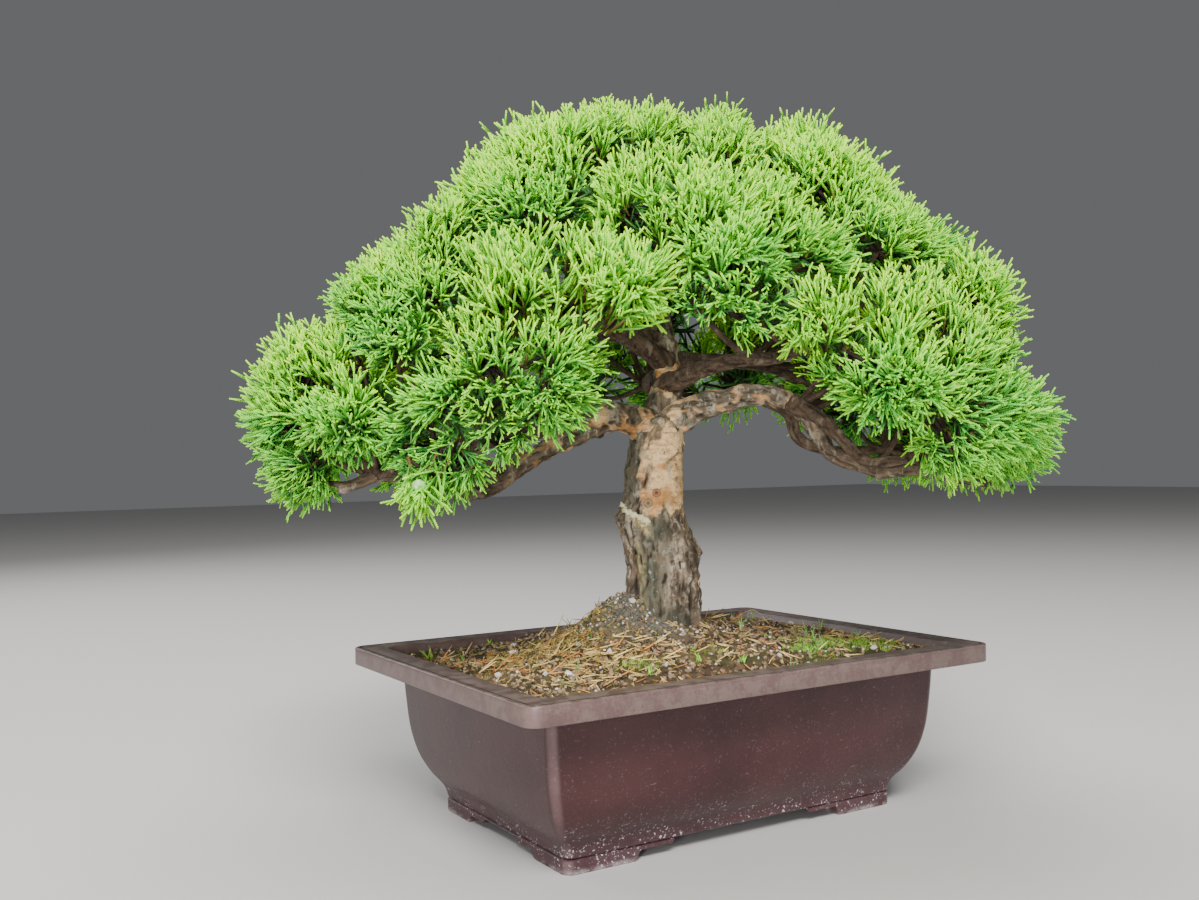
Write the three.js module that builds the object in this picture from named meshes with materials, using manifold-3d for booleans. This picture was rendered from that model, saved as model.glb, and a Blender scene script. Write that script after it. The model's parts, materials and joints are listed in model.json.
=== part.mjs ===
// An Itoigawa juniper bonsai standing in its shallow rectangular pot.
// Millimetres, +Z up, X along the pot's long side. The tree has axes of its own:
// u to its right and v to its back as its front is looked at, turned about the pot's centre.
import * as THREE from "three";
import { mergeVertices } from "three/addons/utils/BufferGeometryUtils.js";
import Module from "manifold-3d";

const wasm = await Module();
wasm.setup();

const UP = new THREE.Vector3(0, 0, 1);

// Gap kept between pieces that rest on each other or fit into each other.
const TOUCH = 0.3;
// How far a cutting solid runs past the face that it cuts.
const PAST = 1;
const SEEDS = { soil: 11, foliage: 5 };

// The pot: outer sizes, then its profile as [height, inset from the outline under the rim].
const RIM_LENGTH = 310;
const RIM_WIDTH = 231;
const POT_HEIGHT = 97;
const RIM_DEPTH = 10.4;
const RIM_CORNER = 6;
const RIM_TOP_WIDTH = 16;
const BODY_LENGTH = 264.5;
const BODY_WIDTH = 186;
const BODY_CORNER = 4.5;
const BODY_PROFILE = [[8.8, 19.6], [15, 17.8], [23, 12], [33, 7], [47, 3.3], [68, 1.1]];
const EDGE = 0.8;
const RIM_GROOVE = { inset: 2.4, width: 1.4, depth: 1, slope: 0.3 };
const WALL = 3.5;
const FLOOR_TOP = 12;
const FLOOR_BOTTOM = 8;
const FLOOR_FILLET = 1;
const INNER_SLOPE_END = 84;
const FOOT_LENGTH = 226;
const FOOT_WIDTH = 146.6;
const FOOT_HEIGHT = 7.6;
const FOOT_BAND = 12;
const FOOT_CHAMFER = 0.6;
const FOOT_SHOULDER = 1.2;
const CORNER_STEPS = 3;

// Openings between the feet, as half of a symmetrical profile [distance from the middle, height].
const LONG_SIDE_ARCH = [[71, 0], [68, 5.5], [48, 5.5], [46, FLOOR_BOTTOM]];
const SHORT_SIDE_ARCH = [[40, 0], [36, 4.5], [20, 4.5], [18, 7]];

// Drainage: one round hole in each half of the floor, with a square screen over it.
const DRAIN_RADIUS = 10;
const DRAIN_SIDES = 16;
const DRAIN_OFFSET = 62;
const SCREEN_SIDE = 34;
const SCREEN_THICKNESS = 1.2;
const SCREEN_CELL = 6;
const SCREEN_PITCH = 8;
const SCREEN_CELLS = 3;

// The soil: its edge against the pot, and a mound that rises to the trunk.
const SOIL_EDGE = 90;
const SOIL_LEVEL = 93;
const SOIL_SIDE_STEPS = 1;
const SOIL_RINGS = [0.93, 0.8, 0.64, 0.48, 0.34, 0.22];
const SOIL_MOUND = { height: 16, spread: 62 };
const ROOT_MOUND = { u: -25, v: -8, height: 21, spread: 17 };
const CORNER_DIP = { x: -122, y: 84, height: -6, spread: 42 };
const SOIL_GRAIN = 0.7;

// The tree's turn about the pot's centre, and its trunk as [height, centre u, radius].
const TREE_TURN = THREE.MathUtils.degToRad(-31.74);
const TRUNK = [
  [62, 0, 13], [84, 0, 17], [97, 0, 20], [106, -0.5, 20.5], [116, -0.6, 20], [130, -0.6, 20],
  [142, 0, 20], [155, -1, 20.4], [164, -3, 20], [173, -5, 19], [183, -4.8, 17.6],
  [199, -4.6, 17.4], [213, -3.3, 16], [225, -1.5, 15.5], [234, 1, 11],
];
const TRUNK_SIDES = 14;
const TRUNK_FLUTES = { count: 5, depth: 0.055, pitch: 45, fadeFrom: 146, fadeTo: 176 };
const ROOT_FLARE = { count: 4, turn: 0.6, height: 5.5, lowest: 90, start: 100, fade: 11 };
// Swellings on the trunk: [angle from u in degrees, height, how far it stands out, spread].
const TRUNK_SWELLINGS = [[187, 172, 3, 8], [-8, 153, 3, 7], [-14, 128, 2.4, 7]];

// Limbs: [u, v, z] points along each, its radius at both ends, and its sides and steps.
const LIMBS = [
  { points: [[0, 0, 216], [2, 6, 234], [6, 15, 262], [2, 20, 300], [-5, 12, 335], [0, 8, 366], [3, 5, 384]],
    from: 12, to: 3, sides: 6, steps: 8 },
  { points: [[3, 0, 224], [-26, -8, 235], [-44, -18, 228], [-79, -42, 209], [-96, -55, 196], [-108, -64, 192],
    [-129, -78, 197], [-152, -88, 203], [-172, -98, 196]], from: 9.5, to: 3, sides: 6, steps: 11 },
  { points: [[-4, 0, 219], [7, 0, 233], [37, -4, 243], [61, -8, 246], [81, -12, 239], [92, -16, 223],
    [99, -18, 211], [114, -21, 204], [127, -24, 199], [144, -28, 200], [164, -32, 196], [186, -36, 192]],
    from: 9.5, to: 3, sides: 6, steps: 14 },
  { points: [[58, -6, 246], [70, 8, 242], [82, 20, 234], [86, 24, 222], [104, 30, 213], [132, 42, 212],
    [166, 54, 214]], from: 4.6, to: 2.6, sides: 5, steps: 7 },
  { points: [[78, -12, 240], [92, -26, 231], [101, -40, 219], [113, -48, 206], [128, -62, 206],
    [141, -84, 211]], from: 4.6, to: 2.6, sides: 5, steps: 6 },
  { points: [[5, 12, 254], [24, -26, 261], [46, -56, 264], [57, -64, 263], [72, -68, 267], [83, -76, 275],
    [88, -92, 290]], from: 6.5, to: 2.8, sides: 5, steps: 6 },
  { points: [[4, 16, 270], [-24, -12, 284], [-50, -44, 292], [-66, -76, 298]],
    from: 6.5, to: 2.8, sides: 5, steps: 5 },
  { points: [[3, 18, 282], [-34, 44, 290], [-84, 74, 284], [-122, 88, 268]],
    from: 6.5, to: 2.8, sides: 5, steps: 6 },
  { points: [[4, 18, 268], [36, 50, 272], [82, 84, 268], [118, 98, 254]],
    from: 6.5, to: 2.8, sides: 5, steps: 6 },
  { points: [[3, 17, 256], [0, 52, 262], [-4, 94, 262], [-2, 124, 258]],
    from: 6, to: 2.8, sides: 5, steps: 5 },
  { points: [[-38, -15, 231], [-82, 8, 226], [-126, 30, 216], [-160, 42, 208]],
    from: 6, to: 2.8, sides: 5, steps: 6 },
  { points: [[-2, 18, 316], [34, -2, 336], [68, -20, 342]], from: 4.8, to: 2.6, sides: 5, steps: 4 },
  { points: [[-3, 16, 322], [-42, 0, 338], [-76, -14, 340]], from: 4.8, to: 2.6, sides: 5, steps: 4 },
  { points: [[-4, 14, 330], [2, -26, 348], [6, -58, 356]], from: 4.6, to: 2.6, sides: 5, steps: 4 },
  { points: [[-2, 14, 326], [4, 52, 340], [2, 80, 340]], from: 4.6, to: 2.6, sides: 5, steps: 4 },
];
const TWIG = { from: 2.2, to: 1.9, sides: 3, steps: 2, sag: 0.08 };
const SOCKET_DEPTH = 0.45;
const SOCKET_GAP = 0.7;

// The crown: lobes of foliage on a dome. FRONT_LOBES are [bearing, height, radius], with the
// bearing in degrees from the tree's front towards its right.
const DOME = { u: 232, v: 168, z: 192, centre: 215 };
const FRONT_LOBES = [
  [-40, 370, 28], [-24, 377, 24], [1, 383, 21], [21, 371, 22], [42, 359, 26], [8, 335, 30],
  [-13, 339, 25], [-28, 330, 25], [-49, 330, 23], [-44, 293, 22], [-28, 300, 28], [-7.5, 295, 29],
  [12, 299, 29], [30, 304, 24], [44.5, 317, 23], [59, 294, 25], [38, 281, 25], [22.5, 279, 24],
  [50, 261, 24], [36, 240, 27], [57, 226, 28], [47, 208, 22], [-59, 293, 22], [-67, 265, 24],
  [-47, 266, 25], [-31, 260, 23], [-70, 231, 26], [-66, 201, 21], [-51, 234, 26], [-40, 235, 24],
  [-20, 235, 21], [-38, 201, 20], [-29, 219, 17],
];
// Tiers round the sides and back: [height, lobe radius, reach to the left, right and back,
// first bearing, last bearing, lobes].
const TIERS = [
  [210, 26, 222, 205, 168, 76, 120, 3], [210, 26, 222, 205, 168, 240, 284, 3],
  [256, 33, 212, 180, 164, 78, 282, 12], [308, 33, 160, 178, 147, 68, 292, 11],
  [354, 29, 120, 127, 116, 62, 298, 8], [386, 27, 90, 94, 76, 84, 276, 4],
  [401, 22, 50, 50, 38, 10, 298, 5],
];
const TIER_MARKS = 24;
const TOP_LOBE = { height: 398, radius: 25 };
const LOBE_SPACING = 39;
const NEIGHBOUR_MARGIN = 12;
const CORE_SHARE = { across: 0.8, through: 0.52 };
const BRIDGE = { radius: 3.4, sides: 5, tests: 8 };
// What it costs a twig, as extra length, to pass through a lobe that isn't its own.
const CROSSING_COST = 60;
const MOST_FOLIAGE_NODES = 48;
// A foliage piece is named by its level, up to each height, and by its side of the tree.
const LEVELS = [[245, "low"], [322, "middle"], [Infinity, "top"]];
const SIDES = [[45, "front"], [135, "side"], [180, "back"]];

// Needles: one on each face of a lobe's core, apart from the faces towards the tree's inside.
const NEEDLE_LOWEST_COSINE = -0.2;
const NEEDLE_ROOT = 1.6;
const NEEDLE_SIDES = 3;
const NEEDLE_SINK = 0.6;
const NEEDLE_REACH = [0.9, 1.06];
const NEEDLE_LEAN = 0.16;
const NEEDLE_LEAST = 4;
const NEEDLE_LIFT = 1.5;
const NODE_GAP = 0.5;

// The one ripe cone, and the stalk that reaches to it from a low lobe at the left.
const CONE = { radius: 3.5, lobe: 31, direction: [-0.3, -0.94, -0.12] };
const STALK = { reach: 20, root: 1.76, tip: 1.1, sides: 4 };

const COLOURS = {
  pot: [0x6d5a5e, 0.42],
  soil: [0x6a5238, 0.95],
  screen: [0x2b2b2b, 0.6],
  wood: [0x7b5f47, 0.85],
  foliage: [0x6fae3f, 0.65],
  cone: [0xc9c79a, 0.5],
};

// A repeatable random number source.
function randomSource(seed) {
  let state = seed;
  return () => {
    state = (state + 0x6d2b79f5) | 0;
    let t = Math.imul(state ^ (state >>> 15), 1 | state);
    t = (t + Math.imul(t ^ (t >>> 7), 61 | t)) ^ t;
    return ((t ^ (t >>> 14)) >>> 0) / 4294967296;
  };
}

function randomVector(random) {
  return new THREE.Vector3(random() - 0.5, random() - 0.5, random() - 0.5).normalize();
}

// A three.js geometry as a solid for joining and cutting.
function solidFrom(geometry) {
  const bare = new THREE.BufferGeometry();
  bare.setAttribute("position", geometry.getAttribute("position"));
  if (geometry.index) bare.setIndex(geometry.index);
  const merged = mergeVertices(bare, 1e-4);
  return new wasm.Manifold(
    new wasm.Mesh({
      numProp: 3,
      vertProperties: merged.attributes.position.array,
      triVerts: new Uint32Array(merged.index.array),
    }),
  );
}

function geometryFrom(solid) {
  const mesh = solid.getMesh();
  const geometry = new THREE.BufferGeometry();
  geometry.setAttribute("position", new THREE.BufferAttribute(mesh.vertProperties, 3));
  geometry.setIndex(new THREE.BufferAttribute(mesh.triVerts, 1));
  geometry.computeVertexNormals();
  return geometry;
}

function joined(solids) {
  return solids.reduce((whole, next) => whole.add(next));
}

// The largest body of a solid: a cut or a clipped needle may leave a loose scrap.
function largestBody(solid) {
  return solid.decompose().reduce((a, b) => (b.volume() > a.volume() ? b : a));
}

// A closed skin over rings with equal numbers of points, each ring anticlockwise as seen
// from the end of the loft.
function loft(rings) {
  const count = rings[0].length;
  const points = rings.flat();
  const faces = [];
  for (let k = 0; k + 1 < rings.length; k += 1) {
    for (let i = 0; i < count; i += 1) {
      const a = k * count + i;
      const b = k * count + ((i + 1) % count);
      faces.push(a, b, b + count, a, b + count, a + count);
    }
  }
  const last = (rings.length - 1) * count;
  for (let i = 1; i + 1 < count; i += 1) {
    faces.push(0, i + 1, i, last, last + i, last + i + 1);
  }
  const geometry = new THREE.BufferGeometry().setFromPoints(points);
  geometry.setIndex(faces);
  return geometry;
}

// A rounded rectangle at one height, with extra points along its sides where asked.
function rectangleRing(halfX, halfY, corner, z, sideSteps = 0) {
  const ring = [];
  const centres = [[1, 1, 0], [-1, 1, 1], [-1, -1, 2], [1, -1, 3]];
  for (const [signX, signY, quarter] of centres) {
    for (let i = 0; i <= CORNER_STEPS; i += 1) {
      const angle = (quarter + i / CORNER_STEPS) * (Math.PI / 2);
      ring.push(
        new THREE.Vector3(
          signX * (halfX - corner) + corner * Math.cos(angle),
          signY * (halfY - corner) + corner * Math.sin(angle),
          z,
        ),
      );
    }
  }
  return ring.flatMap((point, i) => {
    const next = ring[(i + 1) % ring.length];
    const onSide = i % (CORNER_STEPS + 1) === CORNER_STEPS;
    const extra = onSide ? sideSteps : 0;
    const between = Array.from({ length: extra }, (_, k) => point.clone().lerp(next, (k + 1) / (extra + 1)));
    return [point, ...between];
  });
}

function bodyRing(z, inset, sideSteps = 0) {
  return rectangleRing(BODY_LENGTH / 2 - inset, BODY_WIDTH / 2 - inset, BODY_CORNER, z, sideSteps);
}

function rimRing(z, inset) {
  return rectangleRing(RIM_LENGTH / 2 - inset, RIM_WIDTH / 2 - inset, RIM_CORNER, z);
}

// The inner wall's rings from the rim down to the floor, drawn in by a clearance.
function innerRings(clearance, topHeight, sideSteps = 0) {
  const top = [RIM_LENGTH / 2 - RIM_TOP_WIDTH, RIM_WIDTH / 2 - RIM_TOP_WIDTH];
  const low = [BODY_LENGTH / 2 - WALL, BODY_WIDTH / 2 - WALL];
  const share = (topHeight - INNER_SLOPE_END) / (POT_HEIGHT - INNER_SLOPE_END);
  const mouth = [0, 1].map((axis) => low[axis] + share * (top[axis] - low[axis]) - clearance);
  const rings = [
    rectangleRing(mouth[0], mouth[1], BODY_CORNER, topHeight, sideSteps),
    bodyRing(INNER_SLOPE_END, WALL + clearance, sideSteps),
  ];
  const wall = BODY_PROFILE.filter(([z]) => z > FLOOR_TOP).reverse();
  for (const [z, inset] of wall) rings.push(bodyRing(z, inset + WALL + clearance, sideSteps));
  const floorInset = BODY_PROFILE[0][1] + WALL + clearance + FLOOR_FILLET;
  rings.push(bodyRing(FLOOR_TOP + clearance, floorInset, sideSteps));
  return rings;
}

function footRing(z, inset) {
  return rectangleRing(FOOT_LENGTH / 2 - inset, FOOT_WIDTH / 2 - inset, BODY_CORNER, z);
}

// A prism through the pot's foot, cutting the opening between two feet.
function footArch(profile, span, acrossX) {
  const half = profile.map(([distance, z]) => new THREE.Vector2(distance, z));
  const start = new THREE.Vector2(half[0].x + PAST, -PAST);
  const right = [start, ...half];
  const left = right.map((p) => new THREE.Vector2(-p.x, p.y)).reverse();
  const geometry = new THREE.ExtrudeGeometry(new THREE.Shape([...right, ...left]), {
    depth: span,
    bevelEnabled: false,
  });
  geometry.translate(0, 0, -span / 2);
  geometry.rotateX(Math.PI / 2);
  if (acrossX) geometry.rotateZ(Math.PI / 2);
  return solidFrom(geometry);
}

function drainHole(x) {
  const geometry = new THREE.CylinderGeometry(DRAIN_RADIUS, DRAIN_RADIUS, 2 * FLOOR_TOP, DRAIN_SIDES);
  geometry.rotateX(Math.PI / 2);
  geometry.translate(x, 0, FLOOR_TOP);
  return solidFrom(geometry);
}

function pot() {
  const under = POT_HEIGHT - RIM_DEPTH;
  const groove = RIM_GROOVE;
  const outer = [
    footRing(0, FOOT_CHAMFER),
    footRing(EDGE, 0),
    footRing(FOOT_HEIGHT - EDGE / 2, 0),
    footRing(FOOT_HEIGHT + EDGE / 4, FOOT_SHOULDER),
    ...BODY_PROFILE.map(([z, inset]) => bodyRing(z, inset)),
    bodyRing(under, 0),
    rimRing(under, EDGE),
    rimRing(under + EDGE, 0),
    rimRing(POT_HEIGHT - EDGE, 0),
    rimRing(POT_HEIGHT, EDGE),
    rimRing(POT_HEIGHT, groove.inset),
    rimRing(POT_HEIGHT - groove.depth, groove.inset + groove.slope),
    rimRing(POT_HEIGHT - groove.depth, groove.inset + groove.width - groove.slope),
    rimRing(POT_HEIGHT, groove.inset + groove.width),
  ];
  const shell = solidFrom(loft([...outer, ...innerRings(0, POT_HEIGHT)]));
  const recess = solidFrom(loft([footRing(-PAST, FOOT_BAND), footRing(FLOOR_BOTTOM, FOOT_BAND)]));
  return shell
    .subtract(recess)
    .subtract(footArch(LONG_SIDE_ARCH, RIM_WIDTH, false))
    .subtract(footArch(SHORT_SIDE_ARCH, RIM_LENGTH, true))
    .subtract(drainHole(-DRAIN_OFFSET))
    .subtract(drainHole(DRAIN_OFFSET));
}

function box(sizeX, sizeY, sizeZ, x, y, lowZ) {
  const geometry = new THREE.BoxGeometry(sizeX, sizeY, sizeZ);
  geometry.translate(x, y, lowZ + sizeZ / 2);
  return solidFrom(geometry);
}

function drainScreen(x) {
  const bottom = FLOOR_TOP + TOUCH;
  let plate = box(SCREEN_SIDE, SCREEN_SIDE, SCREEN_THICKNESS, x, 0, bottom);
  const middle = (SCREEN_CELLS - 1) / 2;
  for (let i = 0; i < SCREEN_CELLS; i += 1) {
    for (let j = 0; j < SCREEN_CELLS; j += 1) {
      const cellX = x + (i - middle) * SCREEN_PITCH;
      const cellY = (j - middle) * SCREEN_PITCH;
      const cell = box(SCREEN_CELL, SCREEN_CELL, 3 * SCREEN_THICKNESS, cellX, cellY, bottom - PAST);
      plate = plate.subtract(cell);
    }
  }
  return plate;
}

function hill(distance, height, spread) {
  return height * Math.exp(-(distance ** 2) / (2 * spread ** 2));
}

// Height of the soil: level near the pot, a mound at the trunk, a heap over the left root
// and a hollow in the far left corner.
function soilHeight(x, y) {
  const u = x * Math.cos(TREE_TURN) + y * Math.sin(TREE_TURN);
  const v = y * Math.cos(TREE_TURN) - x * Math.sin(TREE_TURN);
  return (
    SOIL_LEVEL +
    hill(Math.hypot(x, y), SOIL_MOUND.height, SOIL_MOUND.spread) +
    hill(Math.hypot(u - ROOT_MOUND.u, v - ROOT_MOUND.v), ROOT_MOUND.height, ROOT_MOUND.spread) +
    hill(Math.hypot(x - CORNER_DIP.x, y - CORNER_DIP.y), CORNER_DIP.height, CORNER_DIP.spread)
  );
}

function soil(trunkHole) {
  const random = randomSource(SEEDS.soil);
  const sides = innerRings(TOUCH, SOIL_EDGE, SOIL_SIDE_STEPS).reverse();
  const edge = sides.at(-1);
  const top = SOIL_RINGS.map((share) =>
    edge.map((point) => {
      const x = point.x * share;
      const y = point.y * share;
      return new THREE.Vector3(x, y, soilHeight(x, y) + SOIL_GRAIN * (2 * random() - 1));
    }),
  );
  let body = solidFrom(loft([...sides, ...top])).subtract(trunkHole);
  const side = SCREEN_SIDE + 2 * TOUCH;
  const high = SCREEN_THICKNESS + 2 * TOUCH + PAST;
  for (const x of [-DRAIN_OFFSET, DRAIN_OFFSET]) {
    body = body.subtract(box(side, side, high, x, 0, FLOOR_TOP - PAST + TOUCH));
  }
  return body;
}

// The trunk's surface: flutes on its lower part, a flare at the roots, and old swellings.
function trunkRadius(angle, z, radius) {
  const flutes = TRUNK_FLUTES;
  const fade = THREE.MathUtils.smoothstep(z, flutes.fadeFrom, flutes.fadeTo);
  const flute = flutes.depth * (1 - fade) * Math.cos(flutes.count * angle + z / flutes.pitch);
  const roots = ROOT_FLARE;
  const flare = roots.height * Math.exp(-Math.max(z - roots.start, 0) / roots.fade);
  const round = 0.5 + 0.5 * Math.cos(roots.count * angle + roots.turn);
  const buttress = z < roots.lowest ? 0 : flare * round;
  let swelling = 0;
  for (const [degrees, height, proud, spread] of TRUNK_SWELLINGS) {
    const across = radius * Math.abs(wrapAngle(angle - THREE.MathUtils.degToRad(degrees)));
    swelling += hill(Math.hypot(across, z - height), proud, spread);
  }
  return radius * (1 + flute) + buttress + swelling;
}

function wrapAngle(angle) {
  return THREE.MathUtils.euclideanModulo(angle + Math.PI, 2 * Math.PI) - Math.PI;
}

// The trunk, thickened by extra where it is to cut its hole in the soil.
function trunk(extra) {
  const rings = TRUNK.map(([z, centre, radius], k) =>
    Array.from({ length: TRUNK_SIDES }, (_, i) => {
      const angle = (i / TRUNK_SIDES) * 2 * Math.PI;
      const r = trunkRadius(angle, z, radius) + extra;
      const down = k === 0 ? extra : 0;
      return new THREE.Vector3(centre + r * Math.cos(angle), r * Math.sin(angle), z - down);
    }),
  );
  return loft(rings);
}

// The route of a limb or twig: points along its middle with the radius at each.
function routeOf({ points, from, to, steps }) {
  const curve = new THREE.CatmullRomCurve3(points.map((p) => new THREE.Vector3(...p)), false, "centripetal");
  const middle = curve.getSpacedPoints(steps);
  const frames = curve.computeFrenetFrames(steps, false);
  const radii = middle.map((_, i) => THREE.MathUtils.lerp(from, to, i / steps));
  return { middle, frames, radii };
}

// A tapering limb, thickened and lengthened by extra where it is to cut a socket.
function limbSolid(limb, extra = 0) {
  const { middle, frames, radii } = limb.route;
  const rings = middle.map((centre, k) => {
    const end = k === 0 ? -1 : k === middle.length - 1 ? 1 : 0;
    const ringCentre = centre.clone().addScaledVector(frames.tangents[k], end * extra);
    return Array.from({ length: limb.sides }, (_, i) => {
      const angle = (i / limb.sides) * 2 * Math.PI;
      const r = radii[k] + extra;
      return ringCentre
        .clone()
        .addScaledVector(frames.normals[k], r * Math.cos(angle))
        .addScaledVector(frames.binormals[k], r * Math.sin(angle));
    });
  });
  return solidFrom(loft(rings));
}

function limbSegments(limb) {
  const { middle, radii } = limb.route;
  return middle.slice(1).map((end, i) => ({ start: middle[i], end, radius: radii[i] }));
}

// Least distance between two straight segments, of which the second may be a point.
function segmentDistance(a, b, c, d) {
  const ab = b.clone().sub(a);
  const cd = d.clone().sub(c);
  const ca = a.clone().sub(c);
  const abab = ab.dot(ab);
  const cdcd = cd.dot(cd);
  const abcd = ab.dot(cd);
  const abca = ab.dot(ca);
  const cdca = cd.dot(ca);
  const denominator = abab * cdcd - abcd * abcd;
  const clamp = THREE.MathUtils.clamp;
  let s = denominator > 1e-9 ? clamp((abcd * cdca - abca * cdcd) / denominator, 0, 1) : 0;
  const t = cdcd > 0 ? clamp((abcd * s + cdca) / cdcd, 0, 1) : 0;
  s = clamp((abcd * t - abca) / abab, 0, 1);
  return a.clone().addScaledVector(ab, s).distanceTo(c.clone().addScaledVector(cd, t));
}

// The dome's point at a bearing and a height.
function domePoint(bearing, z) {
  const angle = THREE.MathUtils.degToRad(bearing);
  const share = Math.sqrt(1 - ((z - DOME.centre) / DOME.z) ** 2);
  const reach = share / Math.hypot(Math.sin(angle) / DOME.u, Math.cos(angle) / DOME.v);
  return new THREE.Vector3(reach * Math.sin(angle), -reach * Math.cos(angle), z);
}

// Points at equal steps round one tier between two bearings.
function tierCentres(z, left, right, back, first, last, count) {
  const marks = Array.from({ length: TIER_MARKS + 1 }, (_, i) => {
    const angle = THREE.MathUtils.degToRad(THREE.MathUtils.lerp(first, last, i / TIER_MARKS));
    const side = Math.sin(angle) > 0 ? right : left;
    const reach = 1 / Math.hypot(Math.sin(angle) / side, Math.cos(angle) / back);
    return new THREE.Vector3(reach * Math.sin(angle), -reach * Math.cos(angle), z);
  });
  return new THREE.CatmullRomCurve3(marks).getSpacedPoints(count - 1);
}

function crownLobes() {
  const lobes = FRONT_LOBES.map(([bearing, z, radius]) => ({ centre: domePoint(bearing, z), radius }));
  lobes.push({ centre: new THREE.Vector3(0, 0, TOP_LOBE.height), radius: TOP_LOBE.radius });
  for (const [z, radius, ...route] of TIERS) {
    for (const centre of tierCentres(z, ...route)) {
      const crowded = lobes.some((lobe) => lobe.centre.distanceTo(centre) < LOBE_SPACING);
      if (!crowded) lobes.push({ centre, radius });
    }
  }
  for (const lobe of lobes) {
    const { x, y, z } = lobe.centre;
    lobe.outward = new THREE.Vector3(x / DOME.u ** 2, y / DOME.v ** 2, (z - DOME.centre) / DOME.z ** 2);
    lobe.outward.normalize();
  }
  return lobes;
}

// Each lobe keeps to its own side of a plane towards every neighbour, so no two nodes cross.
function setWalls(lobes) {
  for (const lobe of lobes) {
    lobe.walls = [];
    for (const other of lobes) {
      const distance = lobe.centre.distanceTo(other.centre);
      if (other === lobe || distance > lobe.radius + other.radius + NEIGHBOUR_MARGIN) continue;
      const normal = other.centre.clone().sub(lobe.centre).divideScalar(distance);
      const limit = (distance ** 2 + lobe.radius ** 2 - other.radius ** 2) / (2 * distance) - NODE_GAP;
      lobe.walls.push({ other, normal, limit });
    }
    const room = Math.min(...lobe.walls.map((wall) => wall.limit));
    lobe.across = Math.min(CORE_SHARE.across * lobe.radius, room);
    lobe.through = Math.min(CORE_SHARE.through * lobe.radius, room);
  }
}

// Near lobes are grown together in pairs, over a short stem, until the nodes are few enough.
function pairedLobes(lobes) {
  const candidates = [];
  lobes.forEach((a, i) => {
    for (const b of lobes.slice(i + 1)) {
      const distance = a.centre.distanceTo(b.centre);
      if (distance < a.radius + b.radius && stemIsClear(a, b)) candidates.push({ a, b, distance });
    }
  });
  candidates.sort((one, two) => one.distance - two.distance);
  const free = new Set(lobes);
  const groups = [];
  for (const { a, b } of candidates) {
    if (groups.length + free.size <= MOST_FOLIAGE_NODES) break;
    if (!free.has(a) || !free.has(b)) continue;
    free.delete(a);
    free.delete(b);
    groups.push([a, b]);
  }
  for (const lobe of free) groups.push([lobe]);
  return groups;
}

// True where a stem between two lobes stays inside their own two cells.
function stemIsClear(a, b) {
  for (let i = 1; i < BRIDGE.tests; i += 1) {
    const point = a.centre.clone().lerp(b.centre, i / BRIDGE.tests);
    const insideA = isInside(a, point, b);
    const insideB = isInside(b, point, a);
    if (!insideA && !insideB) return false;
  }
  return true;
}

function isInside(lobe, point, partner) {
  const offset = point.clone().sub(lobe.centre);
  const others = lobe.walls.filter((wall) => wall.other !== partner);
  return others.every((wall) => offset.dot(wall.normal) + BRIDGE.radius < wall.limit);
}

// A twig to each group from the limb that serves it by the shortest clear way.
function twigTo(group, groups, stations) {
  let best = null;
  for (const lobe of group) {
    for (const station of stations) {
      const length = station.distanceTo(lobe.centre);
      let cost = length;
      for (const other of groups.flat()) {
        if (group.includes(other)) continue;
        const miss = segmentDistance(station, lobe.centre, other.centre, other.centre);
        if (miss < other.across) cost += CROSSING_COST;
      }
      if (!best || cost < best.cost) best = { cost, lobe, station, length };
    }
  }
  const { lobe, station, length } = best;
  const end = lobe.centre.clone().lerp(station, (lobe.through * SOCKET_DEPTH) / length);
  const middle = station.clone().lerp(end, 0.5);
  middle.z -= TWIG.sag * length;
  return withRoute({ ...TWIG, points: [station, middle, end].map((p) => p.toArray()) });
}

function withRoute(limb) {
  const route = routeOf(limb);
  return { ...limb, route };
}

// A three-sided needle, or the cone's stalk, tapering from root to tip.
function spike(root, tip, rootRadius, tipRadius, sides, spin) {
  const along = tip.clone().sub(root).normalize();
  const turn = new THREE.Quaternion().setFromUnitVectors(UP, along);
  const ring = (centre, radius) =>
    Array.from({ length: sides }, (_, i) => {
      const angle = spin + (i / sides) * 2 * Math.PI;
      return new THREE.Vector3(radius * Math.cos(angle), radius * Math.sin(angle), 0)
        .applyQuaternion(turn)
        .add(centre);
    });
  if (tipRadius > 0) return solidFrom(loft([ring(root, rootRadius), ring(tip, tipRadius)]));
  const points = [...ring(root, rootRadius), tip];
  const geometry = new THREE.BufferGeometry().setFromPoints(points);
  const faces = [];
  for (let i = 0; i < sides; i += 1) faces.push(i, (i + 1) % sides, sides);
  for (let i = 1; i + 1 < sides; i += 1) faces.push(0, i + 1, i);
  geometry.setIndex(faces);
  return solidFrom(geometry);
}

// A lobe's core: an icosahedron turned at random, wide across the crown's surface and less deep.
function coreGeometry(lobe, random) {
  const geometry = new THREE.IcosahedronGeometry(1, 0);
  geometry.rotateX(2 * Math.PI * random());
  geometry.rotateZ(2 * Math.PI * random());
  geometry.scale(lobe.across, lobe.across, lobe.through);
  geometry.applyQuaternion(new THREE.Quaternion().setFromUnitVectors(UP, lobe.outward));
  return geometry;
}

// The way a needle grows from a point of the core: square to its oval surface.
function growthAt(lobe, point) {
  const height = point.dot(lobe.outward);
  const flat = point.clone().addScaledVector(lobe.outward, -height);
  return flat
    .divideScalar(lobe.across ** 2)
    .addScaledVector(lobe.outward, height / lobe.through ** 2)
    .normalize();
}

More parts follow.
